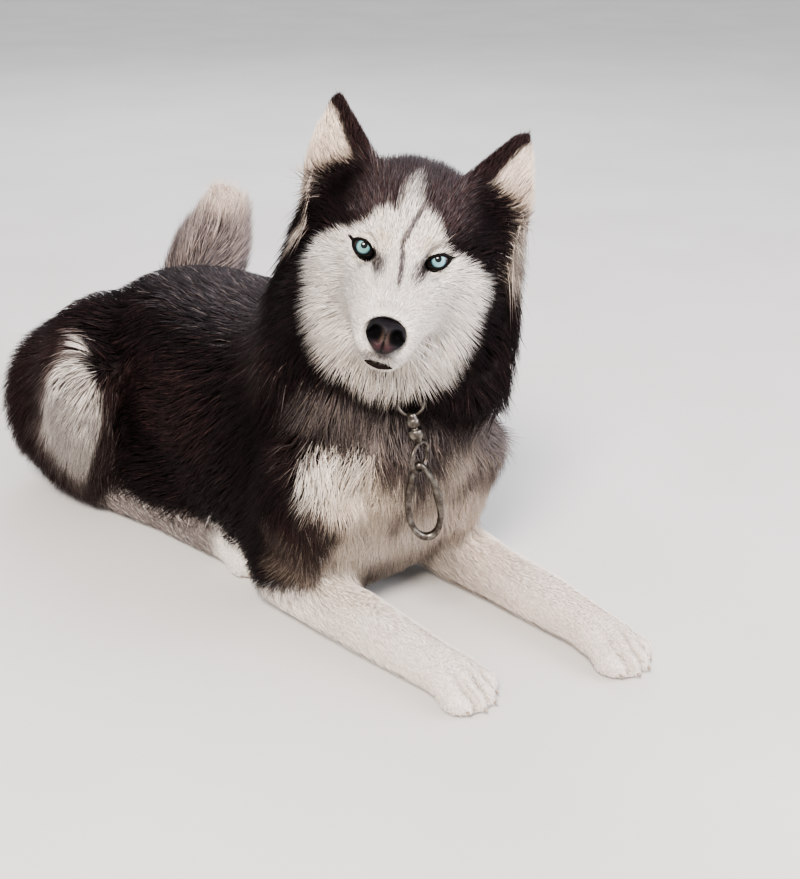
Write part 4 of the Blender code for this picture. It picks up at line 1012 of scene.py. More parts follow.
headFaces = faceIn("head", "muzzle", "lower_jaw")
earFaces = faceIn("ear_left", "ear_right")
upperBody = faceIn("chest", "upper_arm_left", "upper_arm_right")
front = headFaces & (faceHead[:, 1] < 0.022) & (faceHead[:, 2] > -0.095)
crown = (headFaces & ~front & (faceHead[:, 2] > 0.012) & (faceHead[:, 1] < 0.11)) | earFaces
ruff = (headFaces & ~front & ~crown) | faceIn("neck")
flanks = faceIn("trunk") | (upperBody & (faceBody[:, 1] >= 0.03))
right = faceBody[:, 0] < 0.005
mirroredFace = np.abs(faceHead[:, 0])
belowEars = ((mirroredFace > 0.096) & (mirroredFace < 0.125)
             & (faceHead[:, 1] > 0.034) & (faceHead[:, 1] < 0.088)
             & (faceHead[:, 2] > -0.004) & (faceHead[:, 2] < 0.064) & (headFaces | earFaces | faceIn("neck")))
regions = {  # faces, or None for all of the nodes' own; tufts, form, width in mm, finish, nodes
    "coat_face": (front, 19000, "fine", 0.95, "pale", ("head", "muzzle", "lower_jaw")),
    "coat_crown": (crown, 15500, "fine", 1.1, "dark", ("head", "ear_left", "ear_right")),
    "coat_ruff": (ruff, 19500, "long", 1.6, "dark", ("head", "neck")),
    "coat_chest": (upperBody & (faceBody[:, 1] < 0.03), 19500, "long", 1.5, "dark",
                   ("chest", "upper_arm_left", "upper_arm_right")),
    "coat_flank_right": (flanks & right, 10500, "broad", 2.3, "dark", ("trunk", "chest")),
    "coat_flank_left": (flanks & ~right, 8000, "broad", 2.4, "dark", ("trunk", "chest")),
    "coat_haunch_right": (None, 12000, "long", 1.6, "dark", ("thigh_right", "shank_right")),
    "coat_haunch_left": (None, 4300, "broad", 2.3, "dark", ("thigh_left", "shank_left")),
    "coat_forelegs": (None, 15500, "fine", 1.15, "pale",
                      ("forearm_right", "forearm_left", "forepaw_right", "forepaw_left")),
    "coat_hindlegs": (None, 6500, "fine", 1.2, "pale",
                      ("hind_pastern_right", "hind_pastern_left", "hindpaw_right", "hindpaw_left")),
    "coat_tail": (None, 7000, "long", 1.7, "dark", ("tail",)),
    "coat_fluff": (belowEars, 1000, "fine", 1.1, "pale", ("head", "neck")),
}
ownLie = {"coat_fluff": {"flow": (0.30, 0.05, -1.0), "length": {-1: 0.042, 1: 0.066}, "root": 0.005,
                         "mix": {"cream": 0.34, "white": 0.12, "grey": 0.30, "brown": 0.24}}}
stands = {"coat_crown": 0.20, "coat_ruff": 0.09, "coat_chest": 0.10, "coat_haunch_right": 0.09,
          "coat_tail": 0.12}
# the shades along each tuft, from root to tip, are painted shade: darker at the root, a little lighter at the
# tip
tuftForms = {  # places along the lie with their heights, girths, tones, and how tufts turn and gather
    "fine": {"steps": ((0.42, 0.66), (1.0, 0.98)), "girths": (1.0, 0.75), "tones": (0.62, 0.92, 1.08),
             "thick": 0.66,
             "sway": 0.06, "stir": 0.11, "lift": 1.0, "locks": 0.16, "gather": (0.12,), "seen": (0.5, 0.5)},
    "broad": {"steps": ((0.34, 0.58), (0.68, 0.88), (1.0, 0.97)), "girths": (1.0, 0.95, 0.62),
              "tones": (0.5, 0.82, 0.98, 1.1), "thick": 0.62, "sway": 0.08, "stir": 0.11, "lift": 0.6,
              "locks": 0.11,
              "gather": (0.15, 0.32), "seen": (0.4, 0.6)},
}
tuftForms["long"] = {**tuftForms["fine"], "sway": 0.12, "stir": 0.15, "gather": (0.3,)}
tufts = {
    "waves": (((70.0, 45.0, -60.0), 0.3), ((-38.0, 90.0, 52.0), 1.7), ((25.0, -66.0, 110.0), 4.1)),
    "underneath": 0.25, "rooted": 1.0 * mm, "strays": 0.05, "strayLength": 1.15, "strayLift": 0.14,
    "lift": 0.05,
    "lockReach": 0.45, "sameWay": 0.6, "toneSpread": 0.13, "floor": 0.0003, "patch": 0.0015,
}
lipPath = [(-12.5, -78, -78.6), (-9, -82, -79.3), (-5, -84, -79.8), (-0.5, -85, -80.0), (4, -84, -80.2),
           (8, -82, -80.4), (10.5, -80, -80.5)]  # head frame, mm
mouth = {"middle": -1.0 * mm, "half": 11.8 * mm, "tall": 2.9 * mm, "edge": 0.3 * mm, "deep": 2.2 * mm,
         "inset": 2.0 * mm}
hardware = {  # body frame: centre, radius of what is kept clear in front of the fur
    "facing": (-0.55, -0.80, 0.24),
    "soft": 0.008,
    "reach": 0.06,
    "spots": [((-0.0585, -0.1620, 0.2960), 0.016), ((-0.0590, -0.1665, 0.2750), 0.013),
              ((-0.0548, -0.1710, 0.2415), 0.022), ((-0.0535, -0.1712, 0.2150), 0.020),
              ((-0.0500, -0.1714, 0.1900), 0.024), ((-0.0460, -0.1715, 0.1650), 0.025)],
}
roomLow, roomHigh = np.array(cadBox[0]) - 0.012, np.array(cadBox[1]) + 0.012
roomLow[2] = 0.0006


def mixOf(values, faces, bary):
    corners = values[tris[faces]]
    return (corners * bary[:, :, None]).sum(1)


def onCoat(points, sink, depths):
    found = np.array([(*hit[0], *hit[1]) for hit in (coatTree.find_nearest(Vector(p)) for p in points)])
    return found[:, :3] - found[:, 3:] * (sink * depths)[:, None]


def unwrapped(faces):
    mesh = bpy.data.meshes.new("unwrap")
    used, index = np.unique(tris[faces], return_inverse=True)
    mesh.from_pydata(skin[used].tolist(), [], index.reshape(-1, 3).tolist())
    holder = bpy.data.objects.new("unwrap", mesh)
    bpy.context.scene.collection.objects.link(holder)
    bpy.context.view_layer.objects.active = holder
    holder.select_set(True)
    bpy.ops.object.mode_set(mode="EDIT")
    bpy.ops.mesh.select_all(action="SELECT")
    bpy.ops.uv.smart_project(angle_limit=math.radians(66), island_margin=0.004)
    bpy.ops.object.mode_set(mode="OBJECT")
    uv = np.empty(len(mesh.loops) * 2, np.float32)
    mesh.uv_layers.active.data.foreach_get("uv", uv)
    bpy.data.objects.remove(holder)
    bpy.data.meshes.remove(mesh)
    return uv.reshape(-1, 3, 2)


# The fur lies behind the collar's hardware, but the beard hangs in front of it
def behindHardware(points, beard):
    facing, soft = np.array(Vector(hardware["facing"]).normalized()), hardware["soft"]
    for centre, radius in hardware["spots"]:
        away = points - np.array(bodyFrame @ Vector(centre))
        inFront = away @ facing
        beside = np.linalg.norm(away - inFront[:, None] * facing, axis=1)
        press = np.clip((radius + soft - beside) / soft, 0, 1) * ~beard
        press = press * (inFront > -soft) * (inFront < hardware["reach"])
        points = points - facing * ((inFront + soft) * press)[:, None]
    return points


# Eyes, nose and lips stay bare
def onBareSkin(line):
    bare = np.zeros(line.shape[1], bool)
    for points in line:
        for s in (-1, 1):
            distance, angle, height = inEye(points, s)
            bare |= (distance < openingAt(angle, s) + 0.55 * lidAt(angle)) & (height > 0) & (distance < 0.02)
        head = placed(points, toHead)
        inNose = ((head[:, 0] / noseSpot["half"][0]) ** 2
                  + ((head[:, 2] - noseSpot["middle"]) / noseSpot["half"][1]) ** 2) < 1
        bare |= inNose & (head[:, 1] < noseSpot["behind"])
    for start, end in zip(line[:-1], line[1:]):
        for share in (0.0, 0.25, 0.5, 0.75, 1.0):
            head = placed(start + (end - start) * share, toHead)
            lip = lineDistance(head[:, [0, 2]] / mm, [(x, z) for x, _, z in lipPath])
            gap = np.clip(1 - np.abs(head[:, 0] - mouth["middle"]) / mouth["half"], 0, 1)
            bare |= (lip < 0.1 + 1.8 * gap ** 0.5) & (head[:, 1] < -55 * mm)
    return bare


# Three points stand round each place along a tuft and one at its tip
def tuftMesh(name, line, normal, thick, hair, form, uv):
    count, rings = len(thick), len(form["girths"])
    pale = np.clip(hair.mean(1, keepdims=True) / 0.6, 0, 1)
    points, colours = [], []
    for k, (girth, ringShade) in enumerate(zip(form["girths"], form["tones"])):
        ahead = unit(line[k + 1] - line[max(k - 1, 0)])
        wide = unit(np.cross(ahead, normal))
        high = np.cross(wide, ahead)
        half = (thick * girth / 2)[:, None]
        points += [line[k] + wide * half, line[k] - wide * half, line[k] + high * half * 0.8]
        # painted shade and highlight: each ring is darker near the root and lighter near the tip, less so on
        # pale hair, and its ridge point is painted lighter than its two side points
        ringShade = ringShade + (0.95 - ringShade) * 0.7 * pale
        colours += [hair * ringShade * 0.93, hair * ringShade * 0.93, hair * ringShade * 1.05]
    points.append(line[-1])
    colours.append(hair * form["tones"][-1])
    points, colours = np.stack(points, 1), np.stack(colours, 1)
    points[..., 2] = np.maximum(points[..., 2], tufts["floor"])
    per = points.shape[1]
    pattern = [(0, 2, 1)]
    for k in range(rings - 1):
        for i in range(3):
            p, q = 3 * k + i, 3 * k + (i + 1) % 3
            pattern += [(p, q, q + 3), (p, q + 3, p + 3)]
    last = 3 * (rings - 1)
    pattern += [(last + i, last + (i + 1) % 3, per - 1) for i in range(3)]
    corner = (np.array(pattern)[None] + (np.arange(count) * per)[:, None, None]).reshape(-1)
    mesh = bpy.data.meshes.new(name)
    mesh.vertices.add(count * per)
    mesh.vertices.foreach_set("co", points.astype(np.float32).ravel())
    mesh.loops.add(len(corner))
    mesh.loops.foreach_set("vertex_index", corner.astype(np.int32))
    mesh.polygons.add(len(corner) // 3)
    mesh.polygons.foreach_set("loop_start", np.arange(0, len(corner), 3, dtype=np.int32))
    mesh.update(calc_edges=True)
    mesh.shade_smooth()
    colour = mesh.color_attributes.new(name="coat", type="FLOAT_COLOR", domain="POINT")
    colour.data.foreach_set("color", np.dstack([colours, np.ones((count, per, 1))]).astype(np.float32).ravel())
    # each tuft is a patch 0.003 across at its root's place on the skin's unwrap
    patch = tufts["patch"]
    acrossPatch = np.array([patch, -patch, 0.0] * rings + [0.0])
    alongPatch = np.repeat(np.linspace(-patch, patch, rings + 1), [3] * rings + [1])
    spots = (uv[:, None, :] + np.dstack([acrossPatch, alongPatch])).clip(0.0, 1.0).reshape(-1, 2)
    layer = mesh.uv_layers.new(name="OFBake")
    layer.data.foreach_set("uv", spots[corner].astype(np.float32).ravel())
    report(f"{name}: {count} tufts, {len(corner) // 3} triangles")
    return mesh


def tuftPiece(name, mask, count, formName, width, finish, nodes):
    form, own = tuftForms[formName], ownLie.get(name)
    faces = np.flatnonzero(faceIn(*nodes) if mask is None else mask)
    a, b, c = (outer[tris[faces, k]] for k in range(3))
    area = np.linalg.norm(np.cross(b - a, c - a), axis=1)
    below = (outerNormals[tris[faces, 0], 2] < -0.5) & (outer[tris[faces, 0], 2] < 0.02)
    total = np.cumsum(area * np.where(below, tufts["underneath"], 1.0))
    picks = (np.arange(count) + random.random(count)) * total[-1] / count
    which = np.minimum(np.searchsorted(total, picks), len(faces) - 1)
    one, two = np.sqrt(random.random(count)), random.random(count)
    bary = np.column_stack([1 - one, one * (1 - two), one * two])
    at = faces[which]
    root, over, normal = mixOf(skin, at, bary), mixOf(outer, at, bary), unit(mixOf(hairNormals, at, bary))
    lieHere = mixOf(np.column_stack([flow, depth, length, headShare, earShare]), at, bary)
    direction, deep = lieHere[:, :3], lieHere[:, 3]
    hairLength = lieHere[:, 4] * (0.72 + 0.5 * random.random(count))
    # the lie wanders in slow waves and each tuft turns a little
    wave = sum(np.sin(root @ np.array(steep) + phase) for steep, phase in tufts["waves"])
    turn = form["sway"] * wave + form["stir"] * random.standard_normal(count)
    if own:
        sides = np.sign(placed(root, toHead)[:, :1])
        direction = turned(np.array(own["flow"]) * np.hstack([sides, np.ones((count, 2))]), headFrame)
        deep = np.full(count, own["root"])
        hairLength = np.where(sides[:, 0] > 0, own["length"][1], own["length"][-1])
        hairLength = hairLength * (0.35 + 0.8 * random.random(count))
        root = over - normal * own["root"]
    direction = unit(direction - (direction * normal).sum(1, keepdims=True) * normal)
    direction = direction * np.cos(turn)[:, None] + np.cross(normal, direction) * np.sin(turn)[:, None]
    stray = random.random(count) < tufts["strays"]
    hairLength = np.where(stray, hairLength * tufts["strayLength"], hairLength)
    lift = np.where(stray, tufts["strayLift"], tufts["lift"]) * form["lift"] * hairLength
    lift = lift * random.random(count) + stands.get(name, 0.0) * hairLength * random.random(count)
    line = [root - normal * tufts["rooted"]]
    reach = np.sqrt(np.maximum(hairLength ** 2 - deep ** 2, (0.6 * hairLength) ** 2))
    for t, h in form["steps"]:
        wanted = root + direction * (reach * t)[:, None] + (over - root) * h
        laidDown = onCoat(wanted, 1 - h, deep)
        far = np.linalg.norm(laidDown - wanted, axis=1)
        keep = np.clip(0.25 + (far - 0.5 * hairLength) / (0.4 * hairLength), 0.25, 1)[:, None]
        point = laidDown * (1 - keep) + wanted * keep
        line.append(point + normal * (lift * t * t)[:, None])
    line = np.stack(line)
    # neighbours gather into locks
    centres = np.flatnonzero(random.random(count) < form["locks"])
    tree = KDTree(len(centres))
    for number, centre in enumerate(centres):
        tree.insert(line[1, centre], number)
    tree.balance()
    lock = centres[[tree.find(Vector(p))[1] for p in line[1]]]
    together = (direction * direction[lock]).sum(1) > tufts["sameWay"]
    for k, share in enumerate(form["gather"], 2):
        pull = line[k][lock] - line[k]
        close = np.linalg.norm(pull, axis=1) < tufts["lockReach"] * hairLength
        share = share * together * close * (0.6 + 0.6 * random.random(count))
        line[k] += pull * share[:, None]
    if name not in ("coat_face", "coat_crown"):
        line[1:] = [behindHardware(points, lieHere[:, 5] > 0.5) for points in line[1:]]
    line = np.clip(line, roomLow, roomHigh)
    # tufts that would lie far off the coat are left out, but not on the ears
    bare = (far > 0.62 * hairLength) & ~ears[tris[at, 0]] & (not own)
    if name in ("coat_face", "coat_crown", "coat_ruff"):
        bare |= onBareSkin(line)
    keepers = np.flatnonzero(~bare)
    count, line, normal = len(keepers), line[:, keepers], normal[keepers]
    if own:
        weights = np.tile(shareOf(own["mix"]), (count, 1))
    else:
        seenAt = line[1] * form["seen"][0] + line[2] * form["seen"][1]
        weights = painted(seenAt, unit(mixOf(outerNormals, at, bary))[keepers],
                          mixOf(baseWeights, at, bary)[keepers], lieHere[keepers, 5], lieHere[keepers, 6])
    chosen = (np.cumsum(weights, 1) < (random.random(count) * 0.999)[:, None]).sum(1)
    hair = pigmentColours[np.minimum(chosen, len(pigmentNames) - 1)] * 0.5 + (weights @ pigmentColours) * 0.5
    hair = hair * (1 + tufts["toneSpread"] * random.standard_normal(count))[:, None].clip(0.6, 1.5)
    thick = width * mm * (0.6 + 0.6 * random.random(count)) * form["thick"]
    uv = (unwrapped(faces)[which] * bary[:, :, None]).sum(1)[keepers]
    mesh = tuftMesh(name, line, normal, thick, hair, form, uv)
    finished(name, mesh, darkHair if finish == "dark" else paleHair, nodes)


for name, row in regions.items():
    tuftPiece(name, *row)


# Eyeballs and lids
def eyeball(side, name, node):
    centre, u, v, w = eyes[side]
    toCamera = (Vector(pose["camera"]) - centre).normalized()
    gaze = (w * 0.55 + toCamera * 0.45).normalized()  # the eyes look nearly at the camera
    turn = gaze.to_track_quat("Z", "Y").to_matrix()
    bm = bmesh.new()
    bmesh.ops.create_uvsphere(bm, u_segments=72, v_segments=48, radius=1)
    radius, iris = eyeShape["radius"], eyeShape["iris"]
    place, around = [], []
    upInIris = turn.transposed() @ (headFrame.to_3x3() @ Vector((-side * 0.35, 0, 1)))
    pupilAt = Vector((upInIris.x, upInIris.y)).normalized() * eyeShape["pupilLift"]
    for vert in bm.verts:
        local = vert.co * radius
        away = math.atan2(math.hypot(local.x, local.y), local.z)
        flat = radius * away
        offPupil = math.hypot(local.x - pupilAt.x, local.y - pupilAt.y) / iris if local.z > 0 else 3.0
        place.append((flat / iris, offPupil, max(side, 0)))
        spin = Vector((local.x, local.y)).normalized() if away > 1e-4 else Vector((1, 0))
        around.append((spin.x * 1.6, spin.y * 1.6, flat / iris * 0.5))
        bulge = eyeShape["cornea"] * max(0.0, math.cos(min(away / 0.62, 1.0) * math.pi / 2))
        vert.co = centre + turn @ (local + local.normalized() * bulge)
        # past the opening the ball drops away under the lid
        off = vert.co - centre
        x, y = off.dot(u), off.dot(v)
        beyond = math.hypot(x, y) - float(openingAt(math.atan2(y, x), side)) - 0.7 * mm
        if off.dot(w) > 0:
            vert.co -= w * min(eyeShape["underLid"], max(0.0, 1.6 * beyond))
    mesh = bpy.data.meshes.new(name)
    bm.to_mesh(mesh)
    bm.free()
    mesh.shade_smooth()
    for title, rows in (("irisPlace", place), ("irisRound", around)):
        layer = mesh.attributes.new(title, "FLOAT_VECTOR", "POINT")
        layer.data.foreach_set("vector", np.array(rows, np.float32).ravel())
    finished(name, mesh, eyeGlass, (node,))


lidForm = {"steps": 240, "rows": (  # share of the lid's width and height in mm, round the lid's section
    (-0.14, -0.3), (0.0, 0.35), (0.10, 0.95), (0.30, 1.45), (0.60, 1.35), (0.9, 0.7), (1.12, -1.2),
    (1.0, -3.0),
    (0.2, -2.5), (-0.14, -2.0))}


def eyelids(side, name):
    centre, u, v, w = eyes[side]
    loops = []
    for share, lift in lidForm["rows"]:
        ring = []
        for k in range(lidForm["steps"]):
            angle = math.tau * k / lidForm["steps"]
            distance = float(openingAt(angle, side) + lidAt(angle) * share)
            height = float(domeAt(distance, lift * mm))
            ring.append(centre + u * (distance * math.cos(angle)) + v * (distance * math.sin(angle))
                        + w * height)
        loops.append(ring)
    bm = bmesh.new()
    swept(bm, loops, closed=True)
    finished(name, meshFrom(bm, name), lidSkin)


sideNames = {-1: "right", 1: "left"}
for side, word in sideNames.items():
    eyeball(side, "eyeball_" + word, "eye_" + word)
for side, word in sideNames.items():
    eyelids(side, "lids_" + word)
report("eyes")

# Nose
noseForm = {
    "half": (17.2 * mm, 14.0 * mm, 14.6 * mm), "middle": (0.8 * mm, -87.5 * mm, -50.6 * mm), "taper": 0.60,
    "tilt": 4.5,
    "square": (0.72, 0.7, 0.70),  # less than 1 makes a ball squarer
    "backTop": 4.5 * mm, "backFoot": 1.5 * mm, "split": 1.0 * mm, "groove": 1.4 * mm, "wingOut": 1.2 * mm,
    "lobeOut": 0.9 * mm,
    "nostril": 12.0 * mm, "spread": 5.1 * mm, "slit": ((9.2 * mm, 3.4 * mm), (13.0 * mm, 0.8 * mm)),
    "wing": ((12.5, 5), (4, 5)), "lobe": ((4.6, -6.0), (4.0, 4.6)), "bar": ((2.8, 1.5), (2.0, 5)),
}
noseTints = {name: np.array(linear(value)[:3]) for name, value in (
    ("top", "#131015"), ("red", "#3d272a"), ("tan", "#5c4940"))}


# A round swelling at a place in mm, aside and up, with its size in mm
def swelling(aside, high, name):
    (x, z), (wide, tall) = noseForm[name]
    return math.exp(-((aside - x * mm) / (wide * mm)) ** 2 - ((high - z * mm) / (tall * mm)) ** 2)


def nosePad():
    bm = bmesh.new()
    bmesh.ops.create_uvsphere(bm, u_segments=96, v_segments=64, radius=1,
                              matrix=Matrix.Rotation(math.radians(90), 4, "X"))
    middle = Vector(noseForm["middle"])
    tilt = Matrix.Rotation(math.radians(noseForm["tilt"]), 3, "Y")
    start, end = (Vector(spot) for spot in noseForm["slit"])
    along = end - start
    colours = []
    for vert in bm.verts:
        inFront = vert.co.y < 0
        x, y, z = (math.copysign(abs(part) ** power, part)
                   for part, power in zip(vert.co, noseForm["square"]))
        low = max(0.0, -z)
        x *= 1 - noseForm["taper"] * low ** 1.25
        place = Vector([part * half for part, half in zip((x, y, z), noseForm["half"])])
        place.y += noseForm["backTop"] * max(0.0, z) ** 2 + noseForm["backFoot"] * low ** 2
        aside, high = abs(place.x), place.z
        # nostrils: round inside, drawn out to a slit at the side
        t = max(0.0, min(1.0, (Vector((aside, high)) - start).dot(along) / along.length_squared))
        off = (Vector((aside, high)) - start - along * t).length
        hole = math.exp(-(off / (noseForm["spread"] * (1.15 - 0.45 * t))) ** 2.4) * inFront
        place.y += noseForm["nostril"] * hole * (1 - 0.25 * t)
        place.y -= noseForm["wingOut"] * swelling(aside, high, "wing") * inFront
        split = math.exp(-(place.x / noseForm["split"]) ** 2) * (high < 5 * mm) * inFront
        place.y += noseForm["groove"] * split
        lobe, bar = swelling(aside, high, "lobe") * inFront, swelling(aside, high, "bar") * inFront
        place.y -= noseForm["lobeOut"] * lobe
        vert.co = headFrame @ (middle + tilt @ place)
        tint = (noseTints["top"] * (1 - min(1, lobe + bar * 0.9)) + noseTints["red"] * min(1, lobe)
                + noseTints["tan"] * min(1, bar * 0.9) * (1 - min(1, lobe)))
        # painted shade: the nostrils are painted near black and the groove between them darker, for the shade
        # inside them
        tint = tint * (1 - 0.97 * min(1.0, hole * 2.0)) * (1 - 0.6 * split)
        colours.append((*tint, min(1.0, hole * 2.0)))
    mesh = bpy.data.meshes.new("nosePad")
    bmesh.ops.recalc_face_normals(bm, faces=bm.faces)
    bm.to_mesh(mesh)
    bm.free()
    mesh.shade_smooth()
    layer = mesh.color_attributes.new(name="tint", type="FLOAT_COLOR", domain="POINT")
    layer.data.foreach_set("color", np.array(colours, np.float32).ravel())
    finished("nose_pad", mesh, noseLeather, ("nose",))


nosePad()


# Lips: near black lip skin in a line under the nose that thins towards the corners of the mouth; in the middle
# it swells to a dark lens of painted shade for the gap of the mouth
def lipsAndMouthShade():
    path, backwards = [], headFrame.to_3x3() @ Vector((0, 1, 0))
    for x, _, z in lipPath:
        hit = coatTree.ray_cast(headFrame @ (Vector((x, -150, z)) * mm), backwards)
        path.append((toHead @ hit[0]) + Vector((0, mouth["inset"], 0)))
    smoothPath = []
    for k in range(len(path) - 1):
        before, a, b, after = path[max(k - 1, 0)], path[k], path[k + 1], path[min(k + 2, len(path) - 1)]
        for t in (0, 0.25, 0.5, 0.75):
            smoothPath.append(0.5 * (2 * a + (b - before) * t + (2 * before - 5 * a + 4 * b - after) * t ** 2
                                     + (3 * a - before - 3 * b + after) * t ** 3))
    smoothPath.append(path[-1])
    loops = []
    for k, point in enumerate(smoothPath):
        ahead = (smoothPath[min(k + 1, len(smoothPath) - 1)] - smoothPath[max(k - 1, 0)]).normalized()
        outwards = ahead.cross(Vector((0, 0, 1))).normalized()
        middleShare = max(0.0, 1 - abs(point.x - mouth["middle"]) / mouth["half"])
        tall = mouth["edge"] + mouth["tall"] * middleShare ** 0.6
        ring = circleRound(point, outwards, Vector((0, 0, 1)), mouth["deep"], tall, 12)
        loops.append([headFrame @ p for p in ring])
    bm = bmesh.new()
    swept(bm, loops)
    finished("lipsAndMouthShade", meshFrom(bm, "lipsAndMouthShade"), lipSkinAndMouthShade)


lipsAndMouthShade()


# Whiskers: stiff hairs in rows on the upper lip, over the eyes and on the cheeks
whiskerForm = {
    "thick": 0.30 * mm, "tip": 0.04 * mm, "steps": 7, "spread": 0.09, "rooted": 3 * mm,
    "droop": (0.1, 0.35, -0.35),
    "sag": 0.4, "onLip": (3, 4),  # rows and columns
    "others": [((30, -5, 17), (0.3, -0.8, 0.9), 22), ((36, -4, 17), (0.5, -0.7, 0.9), 20),
               ((58, -2, -40), (0.8, -0.4, -0.5), 26)],  # head frame: root in mm, direction, length in mm
}


def whiskers():
    rowCount, columnCount = whiskerForm["onLip"]
    rows = [((22 + 3 * c, -74 + 9 * c + 2 * r, -56 - 6 * r), (0.75, -0.35 + 0.14 * c, -0.25 - 0.16 * r),
             34 + 5 * c) for r in range(rowCount) for c in range(columnCount)] + whiskerForm["others"]
    bm = bmesh.new()
    for (x, y, z), (dx, dy, dz), size in rows:
        for s in (-1, 1):
            aim = Vector((dx * s, dy, dz)).normalized()
            aim = (aim + Vector(random.standard_normal(3) * whiskerForm["spread"])).normalized()
            hit = coatTree.find_nearest(headFrame @ (Vector((x * s, y, z)) * mm))
            start = toHead @ (hit[0] - hit[1] * whiskerForm["rooted"])
            droop = Vector((whiskerForm["droop"][0] * s, *whiskerForm["droop"][1:]))
            side = aim.cross(Vector((0, 0, 1))).normalized()
            loops = []
            for k in range(whiskerForm["steps"] + 1):
                t = k / whiskerForm["steps"]
                sag = droop * (size * mm * t * t * whiskerForm["sag"])
                thin = whiskerForm["thick"] * (1 - t) + whiskerForm["tip"]
                ring = circleRound(start + aim * (size * mm * t) + sag, side, side.cross(aim), thin, None, 3)
                loops.append([headFrame @ p for p in ring])
            swept(bm, loops)
    finished("whiskers", meshFrom(bm, "whiskers"), whiskerHair)


whiskers()

# Claws: one curved horn on each toe
clawForm = {"rings": 8, "long": 6.5 * mm, "drop": 3.0 * mm, "root": 2.0 * mm, "tip": 0.3 * mm, "tall": 1.25}


def claws(name):
    _, along, across, *_ = pawAxes(name)
    bm = bmesh.new()
    for centre, size in toePlaces(name):
        loops = []
        start = centre + along * size + Vector((0, 0, -size * 0.35))
        for k in range(clawForm["rings"]):
            t = k / (clawForm["rings"] - 1)
            middle = start + along * (clawForm["long"] * t) + Vector((0, 0, -clawForm["drop"] * t * t))
            ahead = (along * 8 + Vector((0, 0, -7 * t))).normalized()
            wide = clawForm["root"] * (1 - t) ** 0.55 + clawForm["tip"]
            loops.append(circleRound(middle, across, ahead.cross(across), wide, wide * clawForm["tall"], 12))
        swept(bm, loops)
    finished("claws_" + name, meshFrom(bm, "claws_" + name), clawHorn)


for name in paws:
    claws(name)
report("nose, lips, whiskers and claws")

# Collar and its hardware
metal = {  # body frame; the barrel is turned from places along its axis and radii in mm
    "collarRing": {"centre": (-0.0585, -0.1620, 0.2960), "radius": 12.5 * mm, "wire": 1.6 * mm,
                   "facing": hardware["facing"]},
    "swivel": {"top": (-0.0602, -0.1646, 0.2872), "bottom": (-0.0560, -0.1695, 0.2555),
               "barrel": ((0.0, 1.2), (0.0, 3.0), (0.06, 4.4), (0.10, 4.9), (0.16, 5.0), (0.20, 5.6),
                          (0.22, 6.2),
                          (0.40, 6.2), (0.43, 5.6), (0.46, 3.6), (0.52, 3.6), (0.54, 6.4), (0.57, 7.0),
                          (0.77, 7.0),
                          (0.80, 6.4), (0.86, 5.0), (0.96, 4.6), (1.0, 3.0), (1.0, 1.2))},
    "hangingRing": {"centre": (-0.0548, -0.1710, 0.2415), "radius": 15.0 * mm, "wire": 2.3 * mm,
                    "facing": (0.345, -0.94, 0)},
    "snapLink": {"top": (-0.0548, -0.1712, 0.2322), "bottom": (-0.0445, -0.1715, 0.1510), "width": 36 * mm,
                 "wire": 4.3 * mm, "gate": (0.68, 0.86), "slim": 0.82, "knuckle": 1.22},
}


def wireRing(name, node, centre, radius, wire, facing):
    centre, facing = bodyFrame @ Vector(centre), Vector(facing).normalized()
    side = facing.cross(Vector((0, 0, 1))).normalized()
    bm = bmesh.new()
    made = bmesh.ops.create_circle(bm, cap_ends=False, segments=16, radius=wire)
    for vert in made["verts"]:
        vert.co = centre + side * (radius + vert.co.x) + facing * vert.co.y
    bmesh.ops.spin(bm, geom=bm.verts[:] + bm.edges[:], cent=centre, axis=facing, angle=math.tau, steps=64,
                   use_merge=True)
    finished(name, meshFrom(bm, name), wornSteel, (node,))


def swivel():
    top, bottom = (bodyFrame @ Vector(metal["swivel"][end]) for end in ("top", "bottom"))
    axis = bottom - top
    side = axis.cross(Vector((0, 1, 0))).normalized()
    front = axis.normalized().cross(side)
    bm = bmesh.new()
    loops = [circleRound(top + axis * t, side, front, size * mm, None, 40)
             for t, size in metal["swivel"]["barrel"]]
    swept(bm, loops)
    finished("swivel_fine", meshFrom(bm, "swivel"), wornSteel, ("swivel",))


def snapLink():
    facts, facing = metal["snapLink"], Vector(hardware["facing"]).normalized()
    across = facing.cross(Vector((0, 0, 1))).normalized() * -1
    top, bottom = (bodyFrame @ Vector(facts[end]) for end in ("top", "bottom"))
    drop = bottom - top
    loops, steps = [], 96
    for step in range(steps):
        angle = math.tau * step / steps
        fall = (1 - math.cos(angle)) / 2
        half = facts["width"] / 2 * math.sin(angle) * (0.62 + 0.45 * fall)
        outwards = drop * (fall - 0.5) + across * half
        outwards = (outwards - facing * outwards.dot(facing)).normalized()
        # the gate on one side is a little slimmer and ends in a knuckle
        gate = facts["gate"][0] < step / steps < facts["gate"][1]
        knuckle = any(abs(step / steps - end) < 0.012 for end in facts["gate"])
        wire = facts["wire"] * (facts["slim"] if gate else 1.0) * (facts["knuckle"] if knuckle else 1.0)
        loops.append(circleRound(top + drop * fall + across * half, outwards, facing, wire, None, 14))
    bm = bmesh.new()
    swept(bm, loops, closed=True)
    finished("snap_link_fine", meshFrom(bm, "snapLink"), wornSteel, ("snap_link",))


wireRing("collar_ring_fine", "collar_ring", **metal["collarRing"])
wireRing("hanging_ring_fine", "hanging_ring", **metal["hangingRing"])
swivel()
snapLink()
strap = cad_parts["collar_strap"]
strap.data.materials.clear()
strap.data.materials.append(webbing)
report("collar")

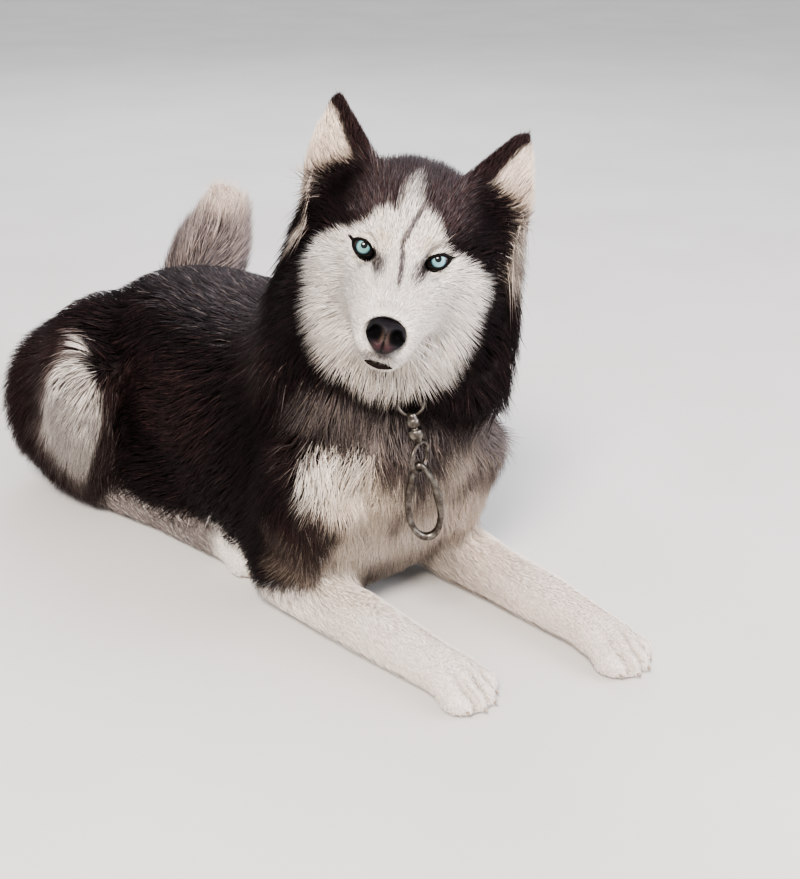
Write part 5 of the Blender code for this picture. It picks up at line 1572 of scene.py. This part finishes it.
# Floor, light and camera
studio = {
    "floor": ("#c3c1be", "#c9c7c5"), "size": 30.0, "room": "#eef1f5", "roomLight": 0.85, "exposure": 0.28,
    "lamps": {  # place, target, size, power, tint
        "keyLight": ((-2.0, -1.9, 2.8), (0, -0.1, 0.2), 1.1, 225, "#fff4ea"),
        "fillLight": ((1.6, -2.6, 1.5), (0, -0.1, 0.25), 2.6, 95, "#f6f6ff"),
        "backLight": ((1.4, 2.4, 2.4), (0, 0.1, 0.25), 2.0, 42, "#f4f7ff"),
    },
}


def floorSheet():
    bm = bmesh.new()
    bmesh.ops.create_grid(bm, x_segments=2, y_segments=2, size=studio["size"])
    mesh = meshFrom(bm, "floor")
    sheet = bpy.data.objects.new("floor", mesh)
    bpy.context.scene.collection.objects.link(sheet)
    # matte paper, its tone drifting over about a third of a metre
    mesh.materials.append(plainMaterial("mattePaperSweep", {"Scale": 3.0, "Detail": 2.0}, (
        (0.3, studio["floor"][0]), (0.7, studio["floor"][1])), Roughness=0.9, Specular_IOR_Level=0.2))


def softLight(name, place, target, size, power, tint):
    data = bpy.data.lights.new(name, "AREA")
    data.shape, data.size, data.energy, data.color = "DISK", size, power, linear(tint)[:3]
    lamp = bpy.data.objects.new(name, data)
    bpy.context.scene.collection.objects.link(lamp)
    lamp.location = place
    lamp.rotation_mode = "QUATERNION"
    lamp.rotation_quaternion = (Vector(target) - Vector(place)).to_track_quat("-Z", "Y")


floorSheet()
for name, row in studio["lamps"].items():
    softLight(name, *row)
world = bpy.data.worlds.new("paleRoom")
bpy.context.scene.world = world
world.use_nodes = True
world.node_tree.nodes["Background"].inputs["Color"].default_value = linear(studio["room"])
world.node_tree.nodes["Background"].inputs["Strength"].default_value = studio["roomLight"]
view = bpy.data.cameras.new("photoView")
view.lens, view.sensor_width, view.sensor_fit = pose["lens"], 36.0, "AUTO"
camera = bpy.data.objects.new("photoView", view)
bpy.context.scene.collection.objects.link(camera)
camera.location = pose["camera"]
camera.rotation_mode = "QUATERNION"
camera.rotation_quaternion = Vector(pose["looking"]).to_track_quat("-Z", "Y")
view.clip_start, view.clip_end = 0.05, 60.0
bpy.context.scene.camera = camera
report("stage")

bpy.context.scene.view_settings.look = "AgX - Medium High Contrast"  # daylight contrast of the photo
bpy.context.scene.view_settings.exposure = studio["exposure"]
